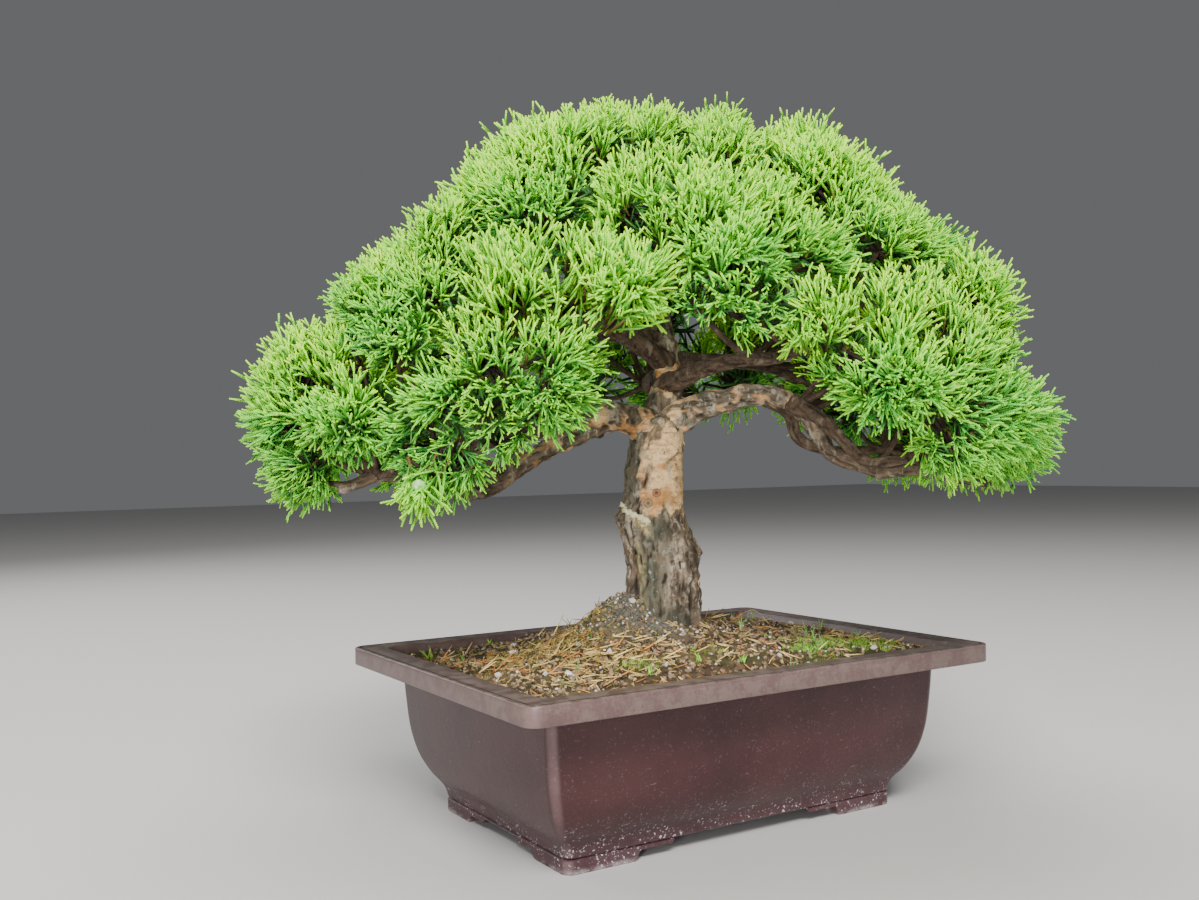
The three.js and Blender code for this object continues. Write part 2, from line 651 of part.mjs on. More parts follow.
// The middle of each face of a geometry that has no index.
function faceMiddles(geometry) {
  const position = geometry.getAttribute("position");
  const corner = new THREE.Vector3();
  return Array.from({ length: position.count / 3 }, (_, face) => {
    const middle = new THREE.Vector3();
    for (let i = 0; i < 3; i += 1) middle.add(corner.fromBufferAttribute(position, 3 * face + i));
    return middle.divideScalar(3);
  });
}

// Needles from the faces of a lobe's core, clipped to its cell and kept off the wood and the cone.
function needlesOf(lobe, core, obstacles, random) {
  const needles = [];
  for (const middle of faceMiddles(core)) {
    const direction = growthAt(lobe, middle);
    if (direction.dot(lobe.outward) < NEEDLE_LOWEST_COSINE) continue;
    const root = lobe.centre.clone().addScaledVector(middle, NEEDLE_SINK);
    direction.addScaledVector(randomVector(random), NEEDLE_LEAN).normalize();
    const length = lobe.radius * THREE.MathUtils.lerp(...NEEDLE_REACH, random()) - middle.length();
    const tip = lobe.centre.clone().add(middle).addScaledVector(direction, length);
    tip.z += NEEDLE_LIFT;
    const spin = 2 * Math.PI * random();
    clipToCell(lobe, root, tip);
    const outside = tip.distanceTo(lobe.centre) - middle.length();
    if (outside < NEEDLE_LEAST) continue;
    const blocked = obstacles.some(
      ({ start, end, radius }) => segmentDistance(root, tip, start, end) < radius + NEEDLE_ROOT + NODE_GAP,
    );
    if (!blocked) needles.push(spike(root, tip, NEEDLE_ROOT, 0, NEEDLE_SIDES, spin));
  }
  return needles;
}

function clipToCell(lobe, root, tip) {
  for (const { normal, limit } of lobe.walls) {
    const rootSide = root.clone().sub(lobe.centre).dot(normal);
    const tipSide = tip.clone().sub(lobe.centre).dot(normal);
    const share = (limit - rootSide) / (tipSide - rootSide);
    if (tipSide > limit) tip.lerpVectors(root, tip, Math.max(share, 0.01));
  }
}

// One piece of foliage: a small core and slim stem for each lobe, sockets for the wood, needles.
function foliage(group, limbs, obstacles, random) {
  const cores = group.map((lobe) => coreGeometry(lobe, random));
  const parts = group.map((lobe, i) => solidFrom(cores[i].clone().translate(...lobe.centre.toArray())));
  if (group.length === 2) {
    const [a, b] = group;
    parts.push(spike(a.centre, b.centre, BRIDGE.radius, BRIDGE.radius, BRIDGE.sides, 0));
  }
  let body = joined(parts);
  for (const limb of limbs) {
    if (limbIsNear(limb, group)) body = body.subtract(limbSolid(limb, SOCKET_GAP));
  }
  body = largestBody(body);
  const needles = group.flatMap((lobe, i) => needlesOf(lobe, cores[i], obstacles, random));
  return [body, needles];
}

function limbIsNear(limb, group) {
  const first = group[0];
  const last = group.at(-1);
  const core = Math.max(...group.map((lobe) => lobe.across));
  return limbSegments(limb).some(({ start, end, radius }) => {
    const distance = segmentDistance(start, end, first.centre, last.centre);
    return distance < core + radius + 2 * SOCKET_GAP;
  });
}

function nodeName(group, counts) {
  const middle = group[0].centre.clone().lerp(group.at(-1).centre, 0.5);
  const bearing = THREE.MathUtils.radToDeg(Math.atan2(middle.x, -middle.y));
  const [, level] = LEVELS.find(([height]) => middle.z < height);
  const [, around] = SIDES.find(([degrees]) => Math.abs(bearing) <= degrees);
  const flank = bearing > 0 ? "right" : "left";
  const stem = "foliage_" + level + "_" + (around === "side" ? flank : around);
  counts[stem] = (counts[stem] ?? 0) + 1;
  return stem + "_" + counts[stem];
}

function mesh(name, solid, finish) {
  const [color, roughness] = COLOURS[finish];
  const material = new THREE.MeshStandardMaterial({ color, roughness, metalness: 0, flatShading: true });
  const made = new THREE.Mesh(geometryFrom(solid), material);
  made.name = name;
  return made;
}

function tree() {
  const group = new THREE.Group();
  group.rotation.z = TREE_TURN;
  const random = randomSource(SEEDS.foliage);
  const lobes = crownLobes();
  setWalls(lobes);
  const groups = pairedLobes(lobes);
  const limbs = LIMBS.map(withRoute);
  const stations = limbs.flatMap((limb) => limb.route.middle.slice(2, -1));
  const twigs = groups.map((lobeGroup) => twigTo(lobeGroup, groups, stations));
  const all = [...limbs, ...twigs];

  const coneLobe = lobes[CONE.lobe];
  const coneWay = new THREE.Vector3(...CONE.direction).normalize();
  const stalkEnd = coneLobe.centre.clone().addScaledVector(coneWay, STALK.reach);
  const coneCentre = stalkEnd.clone().addScaledVector(coneWay, TOUCH + CONE.radius);
  const cone = new THREE.IcosahedronGeometry(CONE.radius, 1);
  cone.translate(...coneCentre.toArray());

  const obstacles = all.flatMap(limbSegments);
  obstacles.push({ start: coneLobe.centre, end: coneCentre, radius: CONE.radius });

  const wood = [solidFrom(trunk(0)), ...all.map((limb) => limbSolid(limb))];
  group.add(mesh("trunk_and_branches", joined(wood), "wood"));
  const counts = {};
  for (const lobeGroup of groups) {
    const [body, needles] = foliage(lobeGroup, all, obstacles, random);
    if (lobeGroup.includes(coneLobe)) {
      needles.push(spike(coneLobe.centre, stalkEnd, STALK.root, STALK.tip, STALK.sides, 0));
    }
    group.add(mesh(nodeName(lobeGroup, counts), largestBody(joined([body, ...needles])), "foliage"));
  }
  group.add(mesh("juniper_cone", solidFrom(cone), "cone"));
  return group;
}

function bonsai() {
  const group = new THREE.Group();
  const hole = trunk(2 * TOUCH);
  hole.rotateZ(TREE_TURN);
  group.add(mesh("pot", pot(), "pot"));
  group.add(mesh("soil", soil(solidFrom(hole)), "soil"));
  group.add(mesh("drain_screen_left", drainScreen(-DRAIN_OFFSET), "screen"));
  group.add(mesh("drain_screen_right", drainScreen(DRAIN_OFFSET), "screen"));
  group.add(tree());
  return group;
}

// The part's origin is the middle of its base, so the group is moved by its own bounds.
const standing = bonsai();
standing.updateMatrixWorld(true);
const bounds = new THREE.Box3().setFromObject(standing, true);
const centre = bounds.getCenter(new THREE.Vector3());
standing.position.set(-centre.x, -centre.y, -bounds.min.z);

const part = new THREE.Group();
part.add(standing);
export default part;
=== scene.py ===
"""An Itoigawa juniper bonsai in its pot: the finish of every surface, the bark, the foliage and the soil."""
import json
import random
from math import atan2, copysign, cos, degrees as in_degrees, exp, hypot, pi, radians, sin, sqrt

import bmesh
import bpy
from mathutils import Matrix, Vector, kdtree, noise

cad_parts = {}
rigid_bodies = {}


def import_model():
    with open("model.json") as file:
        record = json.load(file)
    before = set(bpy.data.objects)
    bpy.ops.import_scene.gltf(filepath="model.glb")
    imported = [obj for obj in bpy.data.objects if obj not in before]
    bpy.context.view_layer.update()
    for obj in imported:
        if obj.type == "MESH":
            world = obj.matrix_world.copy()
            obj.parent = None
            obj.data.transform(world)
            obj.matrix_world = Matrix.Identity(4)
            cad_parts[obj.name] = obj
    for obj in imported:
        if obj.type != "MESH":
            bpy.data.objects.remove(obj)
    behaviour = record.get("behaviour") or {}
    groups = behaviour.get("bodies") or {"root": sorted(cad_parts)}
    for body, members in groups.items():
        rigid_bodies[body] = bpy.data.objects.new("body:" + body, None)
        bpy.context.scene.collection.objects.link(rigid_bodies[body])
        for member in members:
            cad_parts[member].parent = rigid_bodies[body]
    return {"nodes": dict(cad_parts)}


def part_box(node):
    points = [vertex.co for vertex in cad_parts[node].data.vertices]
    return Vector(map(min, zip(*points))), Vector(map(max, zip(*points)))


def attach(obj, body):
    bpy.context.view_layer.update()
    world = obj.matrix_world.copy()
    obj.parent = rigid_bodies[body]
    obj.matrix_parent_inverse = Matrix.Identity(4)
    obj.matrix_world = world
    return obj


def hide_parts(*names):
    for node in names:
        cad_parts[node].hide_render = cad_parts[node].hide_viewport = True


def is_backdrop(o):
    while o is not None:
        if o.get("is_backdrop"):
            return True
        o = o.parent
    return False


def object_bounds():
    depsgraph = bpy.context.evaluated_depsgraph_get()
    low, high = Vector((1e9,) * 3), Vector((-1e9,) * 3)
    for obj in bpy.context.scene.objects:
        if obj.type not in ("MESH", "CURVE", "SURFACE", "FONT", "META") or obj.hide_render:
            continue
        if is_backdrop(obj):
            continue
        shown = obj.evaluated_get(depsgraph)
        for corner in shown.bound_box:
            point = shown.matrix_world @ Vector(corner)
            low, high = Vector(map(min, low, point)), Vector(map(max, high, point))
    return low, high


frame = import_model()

CAD_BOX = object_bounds()
MM = 0.001
BODY = "root"

# The pot stands square in the frame, and its rim gives the centre that all the rest is measured from.
POT_LOW, POT_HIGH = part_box("pot")
POT_CENTRE = Vector(((POT_LOW.x + POT_HIGH.x) / 2, (POT_LOW.y + POT_HIGH.y) / 2, 0))

# The photograph's view, measured from the pot's centre.
PHOTO_WIDTH = 1199
FOCAL_PIXELS = 1203.8
SENSOR = 36
CAMERA_PLACE = Vector((-413.96, -598.90, 208.67)) * MM
CAMERA_YAW = radians(31.741)
CAMERA_PITCH = radians(-0.513)
CAMERA_ROLL = radians(-1.044)

# The pot's sizes in millimetres, with its side as [height, inset from the outline under the rim].
RIM = Vector((310, 231))
POT_HEIGHT = 97
RIM_DEPTH = 10.4
RIM_CORNER = 9
RIM_TOP_WIDTH = 16
POT_BODY = Vector((264.5, 186))
BODY_CORNER = 6.5
BODY_PROFILE = [[8.8, 19.6], [15, 17.8], [23, 12], [33, 7], [47, 3.3], [68, 1.1]]
RIM_GROOVE = {"inset": 2.4, "width": 1.4, "depth": 1}
POT_WALL = 3.5
FLOOR_TOP = 12
FLOOR_BOTTOM = 8
INNER_SLOPE_END = 84
POT_FOOT = Vector((226, 146.6))
FOOT_HEIGHT = 7.6
FOOT_BAND = 12
LONG_SIDE_ARCH = [[71, 0], [68, 5.5], [48, 5.5], [46, FLOOR_BOTTOM]]
SHORT_SIDE_ARCH = [[40, 0], [36, 4.5], [20, 4.5], [18, 7]]
DRAIN_RADIUS = 10
DRAIN_OFFSET = 62
DRAIN_SIDES = 40
CORNER_STEPS = 10
ROUND_STEPS = 4
RIM_ROUND = 0.9
LIP_ROUND = 0.8
PROFILE_STEP = 2.2
SHARP_EDGE = radians(32)
MERGE_DISTANCE = 1e-6

# The soil's surface: its level at the pot and away from it, the mound at the trunk, the heap over the
# left root and the dip in the left back corner. It stands off the pot's wall by a small gap.
SOIL_EDGE = 90
SOIL_EDGE_LIFT = 2.5
SOIL_LEVEL = 93
SOIL_LIFT = 0.8
SOIL_BLEND = 12
SOIL_GAP = 0.3
SOIL_MOUND = {"height": 16, "spread": 62}
ROOT_MOUND = {"u": -25, "v": -8, "height": 21, "spread": 17}
CORNER_DIP = {"x": -122, "y": 84, "height": -6, "spread": 42}
SOIL_CELL = 1.85

# The tree's turn about the pot's centre, and its trunk as [height, centre u, radius].
TREE_TURN = radians(-31.74)
TRUNK = [
    [62, 0, 13], [84, 0, 17], [97, 0, 20], [106, -0.5, 20.5], [116, -0.6, 20], [130, -0.6, 20],
    [142, 0, 20], [155, -1, 20.4], [164, -3, 20], [173, -5, 19], [183, -4.8, 17.6],
    [199, -4.6, 17.4], [213, -3.3, 16], [225, -1.5, 15.5], [234, 1, 11],
]
TRUNK_FLUTES = {"count": 5, "depth": 0.055, "pitch": 45, "from": 146, "to": 176}
ROOT_FLARE = {"count": 4, "turn": 0.6, "height": 6.5, "lowest": 90, "start": 103, "fade": 12}
# Old swellings of the trunk, as [degrees from u, height, how far proud, spread].
TRUNK_SWELLINGS = [[187, 172, 3, 8], [-8, 153, 3, 7], [-14, 128, 2.4, 7]]

# Limbs: [u, v, z] points along each, and its radius at both ends.
LIMBS = [
    {"points": [[0, 0, 216], [2, 6, 234], [6, 15, 262], [2, 20, 300], [-5, 12, 335], [0, 8, 366],
                [3, 5, 384]], "from": 12, "to": 3},
    {"points": [[3, 0, 224], [-26, -8, 235], [-44, -18, 228], [-79, -42, 209], [-96, -55, 196],
                [-108, -64, 192], [-129, -78, 197], [-152, -88, 203], [-172, -98, 196]],
     "from": 9.5, "to": 3},
    {"points": [[-4, 0, 219], [7, 0, 233], [37, -4, 243], [61, -8, 246], [81, -12, 239], [92, -16, 223],
                [99, -18, 211], [114, -21, 204], [127, -24, 199], [144, -28, 200], [164, -32, 196],
                [186, -36, 192]], "from": 9.5, "to": 3},
    {"points": [[58, -6, 246], [70, 8, 242], [82, 20, 234], [86, 24, 222], [104, 30, 213],
                [132, 42, 212], [166, 54, 214]], "from": 4.6, "to": 2.6},
    {"points": [[78, -12, 240], [92, -26, 231], [101, -40, 219], [113, -48, 206], [128, -62, 206],
                [141, -84, 211]], "from": 4.6, "to": 2.6},
    {"points": [[5, 12, 254], [24, -26, 261], [46, -56, 264], [57, -64, 263], [72, -68, 267],
                [83, -76, 275], [88, -92, 290]], "from": 6.5, "to": 2.8},
    {"points": [[4, 16, 270], [-24, -12, 284], [-50, -44, 292], [-66, -76, 298]], "from": 6.5, "to": 2.8},
    {"points": [[3, 18, 282], [-34, 44, 290], [-84, 74, 284], [-122, 88, 268]], "from": 6.5, "to": 2.8},
    {"points": [[4, 18, 268], [36, 50, 272], [82, 84, 268], [118, 98, 254]], "from": 6.5, "to": 2.8},
    {"points": [[3, 17, 256], [0, 52, 262], [-4, 94, 262], [-2, 124, 258]], "from": 6, "to": 2.8},
    {"points": [[-38, -15, 231], [-82, 8, 226], [-126, 30, 216], [-160, 42, 208]], "from": 6, "to": 2.8},
    {"points": [[-2, 18, 316], [34, -2, 336], [68, -20, 342]], "from": 4.8, "to": 2.6},
    {"points": [[-3, 16, 322], [-42, 0, 338], [-76, -14, 340]], "from": 4.8, "to": 2.6},
    {"points": [[-4, 14, 330], [2, -26, 348], [6, -58, 356]], "from": 4.6, "to": 2.6},
    {"points": [[-2, 14, 326], [4, 52, 340], [2, 80, 340]], "from": 4.6, "to": 2.6},
]
# The steps that each limb is cut into. Twigs start where these meet, from the second on.
LIMB_STEPS = [8, 11, 14, 7, 6, 6, 5, 6, 6, 5, 6, 4, 4, 4, 4]
LIMB_TAPER = 1.6
OLD_LIMBS = 3
# Twigs: the radius at both ends, the sag as a share of the length, how far short of its tuft's centre a
# twig ends as a share of the tuft's radius, and the detour that it takes to keep clear of another tuft.
TWIG = {"from": 2.2, "to": 1.5, "sag": 0.08, "short": 0.225, "detour": 60, "step": 6}
TWIGLET_RADII = [1.35, 1.05]

# The crown: tufts on a dome. FRONT_TUFTS are [bearing, height, radius], with the bearing in degrees
# from the tree's front towards its right. TIERS are [height, tuft radius, reach to the left, right
# and back, first bearing, last bearing, tufts].
DOME = {"u": 232, "v": 168, "z": 192, "centre": 215}
FRONT_TUFTS = [
    [-40, 370, 28], [-24, 377, 24], [1, 383, 21], [21, 371, 22], [42, 359, 26], [8, 335, 30],
    [-13, 339, 25], [-28, 330, 25], [-49, 330, 23], [-44, 293, 22], [-28, 300, 28], [-7.5, 295, 29],
    [12, 299, 29], [30, 304, 24], [44.5, 317, 23], [59, 294, 25], [38, 281, 25], [22.5, 279, 24],
    [50, 261, 24], [36, 240, 27], [57, 226, 28], [47, 208, 22], [-59, 293, 22], [-67, 265, 24],
    [-47, 266, 25], [-31, 260, 23], [-70, 231, 26], [-66, 201, 21], [-51, 234, 26], [-40, 235, 24],
    [-20, 235, 21], [-38, 201, 20], [-29, 219, 17],
]
TIERS = [
    [210, 26, 222, 205, 168, 76, 120, 3], [210, 26, 222, 205, 168, 240, 284, 3],
    [256, 33, 212, 170, 164, 78, 282, 12], [308, 33, 160, 178, 147, 68, 292, 11],
    [354, 29, 120, 127, 116, 62, 298, 8], [386, 27, 90, 94, 76, 84, 276, 4],
    [401, 22, 50, 50, 38, 10, 298, 5],
]
TIER_MARKS = 96
TOP_TUFT = {"height": 398, "radius": 25}
TUFT_SPACING = 39
# Tufts in the wide hollows of the crown, as [u, v, z, radius].
HOLLOW_TUFTS = [
    [148, -60, 314, 26], [126, -62, 336, 22], [62, -56, 372, 23], [78, 27, 370, 20], [-76, 38, 366, 20],
    [0, 74, 368, 18], [-130, -20, 326, 18], [118, 64, 324, 18], [12, -34, 384, 20], [36, -154, 274, 20],
]
# Filling tufts: how far apart the tufts round one hollow are at most, the gap that may stay, how deep a
# filler lies, and its radius as what it has beyond the gap, the least and the most.
FILL = {"span": 82, "gap": -1.5, "depth": 4, "overlap": 18, "least": 17, "most": 25}


def tree_point(u, v, z):
    """A point of the tree's own axes, in millimetres, as a place in the frame."""
    x = u * cos(TREE_TURN) - v * sin(TREE_TURN)
    y = u * sin(TREE_TURN) + v * cos(TREE_TURN)
    return Vector((x, y, z)) * MM + POT_CENTRE


def tree_turned(x, y):
    """u and v of the tree's own axes, from x and y measured from the pot's centre."""
    u = x * cos(TREE_TURN) + y * sin(TREE_TURN)
    v = y * cos(TREE_TURN) - x * sin(TREE_TURN)
    return u, v


def tree_axes(place):
    """A place in the frame as [u, v, z] of the tree's own axes, in millimetres."""
    x, y, z = (place - POT_CENTRE) / MM
    return Vector((*tree_turned(x, y), z))


def pot_point(x, y, z):
    """A point measured from the pot's centre, in millimetres, as a place in the frame."""
    return Vector((x, y, z)) * MM + POT_CENTRE


def smoothstep(value, low, high):
    share = min(max((value - low) / (high - low), 0), 1)
    return share * share * (3 - 2 * share)


def mix(a, b, share):
    return a + (b - a) * share


def hill(distance, height, spread):
    return height * exp(-(distance ** 2) / (2 * spread ** 2))


def wrap(angle):
    """The same angle between minus and plus half a turn."""
    return (angle + pi) % (2 * pi) - pi


def flat_way(angle):
    """The level direction at an angle."""
    return Vector((cos(angle), sin(angle), 0))


# Meshes

class MeshMaker:
    """Gathers vertices with named values, and faces, into one mesh."""

    def __init__(self, *values):
        self.points = []
        self.faces = []
        self.values = {name: [] for name in values}

    def point(self, place, **values):
        self.points.append(Vector(place))
        for name, stored in self.values.items():
            stored.append(values.get(name, 0.0))
        return len(self.points) - 1

    def bridge(self, ring_a, ring_b):
        """A band of quads between two closed rings of indices."""
        count = len(ring_a)
        for i in range(count):
            j = (i + 1) % count
            self.faces.append((ring_a[i], ring_a[j], ring_b[j], ring_b[i]))

    def cap(self, ring, tip):
        """A fan from a closed ring to its tip."""
        count = len(ring)
        for i in range(count):
            self.faces.append((ring[i], ring[(i + 1) % count], tip))

    def tube(self, route, radii, sides, values=None, shape=None, blunt=False):
        """A tube along a route, with a flat or a pointed end. values may give the named values of each
        step, and shape a radius for each angle and step."""
        values = values or (lambda step, turn: {})
        frames = route_frames(route)
        rings = []
        for step, (centre, radius) in enumerate(zip(route, radii)):
            across, over = frames[step]
            ring = []
            for i in range(sides):
                angle = 2 * pi * i / sides
                reach = shape(angle, step) if shape else radius
                place = centre + across * (reach * cos(angle)) + over * (reach * sin(angle))
                ring.append(self.point(place, **values(step, i / sides)))
            rings.append(ring)
        for ring_a, ring_b in zip(rings, rings[1:]):
            self.bridge(ring_a, ring_b)
        if blunt:
            self.faces.append(tuple(rings[-1]))
            self.faces.append(tuple(rings[0][::-1]))
            return
        end = self.point(route[-1] + (route[-1] - route[-2]).normalized() * radii[-1],
                         **values(len(route) - 1, 0))
        self.cap(rings[-1], end)
        start = self.point(route[0], **values(0, 0))
        self.cap(rings[0][::-1], start)

    def mesh(self, name):
        made = bpy.data.meshes.new(name)
        made.from_pydata([tuple(p) for p in self.points], [], self.faces)
        for value_name, stored in self.values.items():
            attribute = made.attributes.new(value_name, "FLOAT", "POINT")
            attribute.data.foreach_set("value", stored)
        made.update()
        return made


def route_frames(route):
    """Two directions square to a route at each of its points, carried along without twist."""
    along = []
    for i in range(len(route)):
        before = route[max(i - 1, 0)]
        after = route[min(i + 1, len(route) - 1)]
        along.append((after - before).normalized())
    steep = abs(along[0].z) >= 0.9
    helper = Vector((1, 0, 0)) if steep else Vector((0, 0, 1))
    across = along[0].cross(helper).normalized()
    frames = []
    for direction in along:
        across = (across - direction * across.dot(direction)).normalized()
        frames.append((across, direction.cross(across)))
    return frames


def smooth_route(points, length):
    """A centripetal curve through points, as places about one length apart."""
    points = [Vector(p) for p in points]
    points = [2 * points[0] - points[1], *points, 2 * points[-1] - points[-2]]
    fine = []
    for p0, p1, p2, p3 in zip(points, points[1:], points[2:], points[3:]):
        knots = [0]
        for a, b in ((p0, p1), (p1, p2), (p2, p3)):
            knots.append(knots[-1] + max((b - a).length, 1e-9) ** 0.5)
        steps = max(int((p2 - p1).length / length * 4), 4)
        for i in range(steps):
            t = mix(knots[1], knots[2], i / steps)
            a1 = p0.lerp(p1, (t - knots[0]) / (knots[1] - knots[0]))
            a2 = p1.lerp(p2, (t - knots[1]) / (knots[2] - knots[1]))
            a3 = p2.lerp(p3, (t - knots[2]) / (knots[3] - knots[2]))
            b1 = a1.lerp(a2, (t - knots[0]) / (knots[2] - knots[0]))
            b2 = a2.lerp(a3, (t - knots[1]) / (knots[3] - knots[1]))
            fine.append(b1.lerp(b2, (t - knots[1]) / (knots[2] - knots[1])))
    fine.append(points[-2])
    return spaced(fine, max(round(lengths_along(fine)[-1] / length), 2))


def lengths_along(route, unit=1):
    """The length of a route from its start to each of its points."""
    lengths = [0]
    for a, b in zip(route, route[1:]):
        lengths.append(lengths[-1] + (b - a).length / unit)
    return lengths


def spaced(fine, count):
    """Places at equal steps along a fine route."""
    lengths = lengths_along(fine)
    places = []
    at = 0
    for i in range(count + 1):
        wanted = lengths[-1] * i / count
        while at < len(fine) - 2 and lengths[at + 1] < wanted:
            at += 1
        step = lengths[at + 1] - lengths[at]
        places.append(fine[at].lerp(fine[at + 1], (wanted - lengths[at]) / step if step else 0))
    return places


def new_object(name, data):
    """A new object in the scene."""
    made = bpy.data.objects.new(name, data)
    bpy.context.scene.collection.objects.link(made)
    return made


def edited_mesh(edit, name):
    """A finished edit as a new mesh."""
    mesh = bpy.data.meshes.new(name)
    edit.to_mesh(mesh)
    edit.free()
    return mesh


def add_object(name, mesh, material=None, smooth=True):
    made = new_object(name, mesh)
    if material:
        mesh.materials.clear()
        mesh.materials.append(material)
    if smooth:
        mesh.shade_smooth()
    return made


def make_piece(made, slot, *nodes):
    """Hangs a finished piece on its body and hides the CAD parts that it stands for. slot, its finish, is
    not used.
    """
    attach(made, BODY)
    if nodes:
        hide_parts(*nodes)
    return made


def clean_shell(mesh):
    """Merges doubled points and turns all faces outwards."""
    edit = bmesh.new()
    edit.from_mesh(mesh)
    bmesh.ops.remove_doubles(edit, verts=edit.verts, dist=MERGE_DISTANCE)
    bmesh.ops.recalc_face_normals(edit, faces=edit.faces)
    edit.to_mesh(mesh)
    edit.free()


# Shader maths

def add_node(tree, kind, settings, inputs, output):
    """Adds a node of any kind: its settings first, then its sockets, and gives one output."""
    made = tree.nodes.new(kind)
    for name, value in (settings or {}).items():
        setattr(made, name, value)
    for name, value in (inputs or {}).items():
        if isinstance(value, bpy.types.NodeSocket):
            tree.links.new(value, made.inputs[name])
        else:
            made.inputs[name].default_value = value
    return made.outputs[output]


class Value:
    """A socket of a node tree, with operators that add Math nodes."""

    def __init__(self, shader, socket):
        self.shader = shader
        self.socket = socket

    def _math(self, operation, *others):
        inputs = dict(enumerate(others))
        return self.shader.node("ShaderNodeMath", {"operation": operation}, inputs)

    def __add__(self, other):
        return self._math("ADD", self, other)

    def __radd__(self, other):
        return self._math("ADD", other, self)

    def __sub__(self, other):
        return self._math("SUBTRACT", self, other)

    def __rsub__(self, other):
        return self._math("SUBTRACT", other, self)

    def __mul__(self, other):
        return self._math("MULTIPLY", self, other)

    def __truediv__(self, other):
        return self._math("DIVIDE", self, other)

    def __pow__(self, other):
        return self._math("POWER", self, other)

    def most(self, other):
        return self._math("MAXIMUM", self, other)

    def absolute(self):
        return self._math("ABSOLUTE", self)

    def wave(self):
        return self._math("SINE", self)

    def between(self, low, high):
        """0 below low, 1 above high, and smooth from one to the other."""
        settings = {"interpolation_type": "SMOOTHSTEP"}
        inputs = {"Value": self, "From Min": low, "From Max": high}
        return self.shader.node("ShaderNodeMapRange", settings, inputs)


class Shader:
    """One material's node tree."""

    def __init__(self, name, **fixed):
        self.material = bpy.data.materials.new(name)
        self.material.use_nodes = True
        self.tree = self.material.node_tree
        self.surface = self.tree.nodes["Principled BSDF"]
        for socket, value in fixed.items():
            self.surface.inputs[socket.replace("_", " ")].default_value = value

    def node(self, kind, settings=None, inputs=None, output=0):
        """Adds a node of any kind, whose sockets take values or links, and gives one output."""
        plain = {name: value.socket if isinstance(value, Value) else value
                 for name, value in (inputs or {}).items()}
        return Value(self, add_node(self.tree, kind, settings, plain, output))

    def place(self):
        """Object coordinates in millimetres."""
        at = self.node("ShaderNodeTexCoord", output="Object")
        return self.node("ShaderNodeVectorMath", {"operation": "SCALE"}, {0: at, "Scale": 1 / MM})

    def along(self, vector, axis):
        return self.node("ShaderNodeSeparateXYZ", inputs={0: vector}, output=axis)

    def stored(self, name):
        return self.node("ShaderNodeAttribute", {"attribute_name": name}, output="Fac")

    def stretched(self, vector, *scale):
        return self.node("ShaderNodeVectorMath", {"operation": "MULTIPLY"}, {0: vector, 1: scale})

    def noise(self, vector, size, detail=2.0, roughness=0.5, distortion=0.0):
        """Fractal noise whose lumps are about one size across, from 0 to 1."""
        inputs = {"Vector": vector, "Scale": 1 / size, "Detail": detail, "Roughness": roughness,
                  "Distortion": distortion}
        return self.node("ShaderNodeTexNoise", None, inputs)

    def cells(self, vector, size):
        """Cells about one size across, each of its own colour."""
        inputs = {"Vector": vector, "Scale": 1 / size}
        return self.node("ShaderNodeTexVoronoi", {"feature": "F1"}, inputs, "Color")

    def mixed(self, share, a, b):
        """Colour a where share is 0, and b where it is 1."""
        a, b = [colour if isinstance(colour, Value) else (*colour, 1) for colour in (a, b)]
        settings = {"data_type": "RGBA", "clamp_factor": True}
        return self.node("ShaderNodeMix", settings, {0: share, 6: a, 7: b}, 2)

    def layered(self, colour, *layers):
        """A colour under others, each given as its share and itself."""
        for share, over in layers:
            colour = self.mixed(share, colour, over)
        return colour

    def set(self, **links):
        for socket, value in links.items():
            self.tree.links.new(value.socket, self.surface.inputs[socket.replace("_", " ")])
        return self.material

    def bump(self, height, distance):
        """Relief from a height of 0 to 1, with its depth in millimetres."""
        inputs = {"Height": height, "Distance": distance * MM, "Strength": 1.0}
        return self.node("ShaderNodeBump", None, inputs, "Normal")


def rim_inset(s, at):
    """Distance in from the rim's rounded outline, right for the outer few millimetres."""
    centre = POT_CENTRE / MM
    reach_x = ((s.along(at, "X") - centre.x).absolute() - (RIM.x / 2 - RIM_CORNER)).most(0.0)
    reach_y = ((s.along(at, "Y") - centre.y).absolute() - (RIM.y / 2 - RIM_CORNER)).most(0.0)
    return RIM_CORNER - (reach_x * reach_x + reach_y * reach_y) ** 0.5


